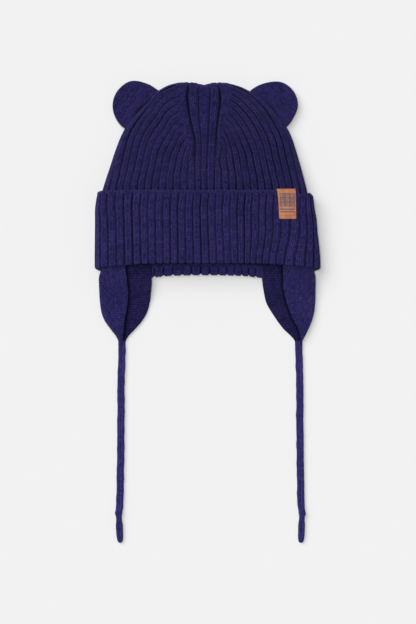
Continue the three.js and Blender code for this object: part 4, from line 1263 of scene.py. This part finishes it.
def leather_material():
    """Tan leather with a dark printed pattern."""
    n = Nodes("tan_leather")
    across, up = n.uv()
    grain = n.noise(scale=2600.0, detail=4.0, roughness=0.6)
    cloud = n.noise(scale=260.0)
    tan = n.mix(n.ramp(cloud, *CLOUDS), LEATHER_DARK, LEATHER_LIGHT)
    tan = n.shade(tan, n.plus(GRAIN_LEAST, n.times(grain, GRAIN_MORE)))
    printed = label_print(n, across, up)
    worn = n.times(printed, n.ramp(grain, *PRINT_WORN))
    n.bump(n.minus(n.times(grain, GRAIN_HEIGHT), n.times(printed, PRINT_DEPTH)), LEATHER_RELIEF)
    colour = n.mix(n.times(worn, PRINT_STRENGTH), tan, PRINT_GREY)
    return n.finish(colour, roughness=0.62, specular_ior_level=0.35)


def label_print(n, across, up):
    """1 where the label is printed: a panel with three rows of open rings, and two bars under it."""
    def within(value, band):
        return n.times(n.math("GREATER_THAN", value, band[0]), n.math("LESS_THAN", value, band[1]))

    def from_centre(value, band, length):
        """Distance from the centre of the nearest of three rings."""
        share = (band[1] - band[0]) / 3
        turn = n.part(n.math("DIVIDE", n.minus(value, band[0]), share))
        return n.times(n.minus(turn, 0.5), share * length)

    x, y = from_centre(across, PANEL_ACROSS, LABEL_SIZE[0]), from_centre(up, PANEL_UP, LABEL_SIZE[1])
    ring = within(n.math("SQRT", n.plus(n.times(x, x), n.times(y, y))), PANEL_RING)
    panel = n.times(within(up, PANEL_UP), n.minus(1.0, ring))
    bars = n.plus(within(up, PRINT_BARS[0]), within(up, PRINT_BARS[1]))
    return n.times(within(across, PANEL_ACROSS), n.plus(panel, bars))


def thread_material():
    n = Nodes("tan_thread")
    twist = n.noise(scale=3000.0)
    n.bump(twist, THREAD_RELIEF)
    return n.finish(n.shade(THREAD, n.plus(THREAD_LEAST, n.times(twist, THREAD_MORE))), roughness=0.8)


def floor_material():
    n = Nodes("pale_floor")
    speck = n.plus(1 - FLOOR_SPECK / 2, n.times(n.noise(scale=30.0), FLOOR_SPECK))
    return n.finish(n.shade(FLOOR, speck), roughness=0.9, specular_ior_level=0.0)


# Stage

def make_camera():
    data = bpy.data.cameras.new("camera")
    data.lens = LENS
    data.sensor_fit = "VERTICAL"
    data.sensor_height = SENSOR
    distance = VIEW_HEIGHT * MM * LENS / SENSOR
    data.clip_end = 4 * distance
    camera = add_object("camera", data)
    camera.location = (VIEW_CENTRE[0] * MM, VIEW_CENTRE[1] * MM, distance)
    bpy.context.scene.camera = camera


def make_lamp(name, source, strength, spread):
    sun = bpy.data.lights.new(name, "SUN")
    sun.energy = strength
    sun.angle = math.radians(spread)
    add_object(name, sun).rotation_euler = Vector(source).to_track_quat("Z", "Y").to_euler()


def make_room():
    world = bpy.data.worlds.new("room")
    world.use_nodes = True
    background = next(n for n in world.node_tree.nodes if n.type == "BACKGROUND")
    background.inputs["Color"].default_value = (1, 1, 1, 1)
    background.inputs["Strength"].default_value = ROOM_STRENGTH
    bpy.context.scene.world = world
    bpy.context.scene.view_settings.view_transform = "Standard"


def make_floor():
    mesh = bpy.data.meshes.new("floor")
    reach, z = FLOOR_REACH, -FLOOR_BELOW
    corners = [(-reach, -reach, z), (reach, -reach, z), (reach, reach, z), (-reach, reach, z)]
    mesh.from_pydata(corners, [], [(0, 1, 2, 3)])
    mesh.materials.append(floor_material())
    add_object("floor", mesh)


make_camera()
tie_look, rib_look, jersey_look = tie_material(), rib_material(), jersey_material()
for hand in (LEFT, RIGHT):
    make_tie(hand, tie_look)
make_lamp("window", WINDOW_FROM, WINDOW_STRENGTH, WINDOW_SPREAD)
make_lamp("top", TOP_FROM, TOP_STRENGTH, TOP_SPREAD)
make_room()
make_floor()
make_crown(rib_look)
make_cuff(rib_look)
for hand in (LEFT, RIGHT):
    make_ear(hand, jersey_look)
    make_flap(hand, jersey_look)
make_label(leather_material())
make_label_stitches(thread_material())
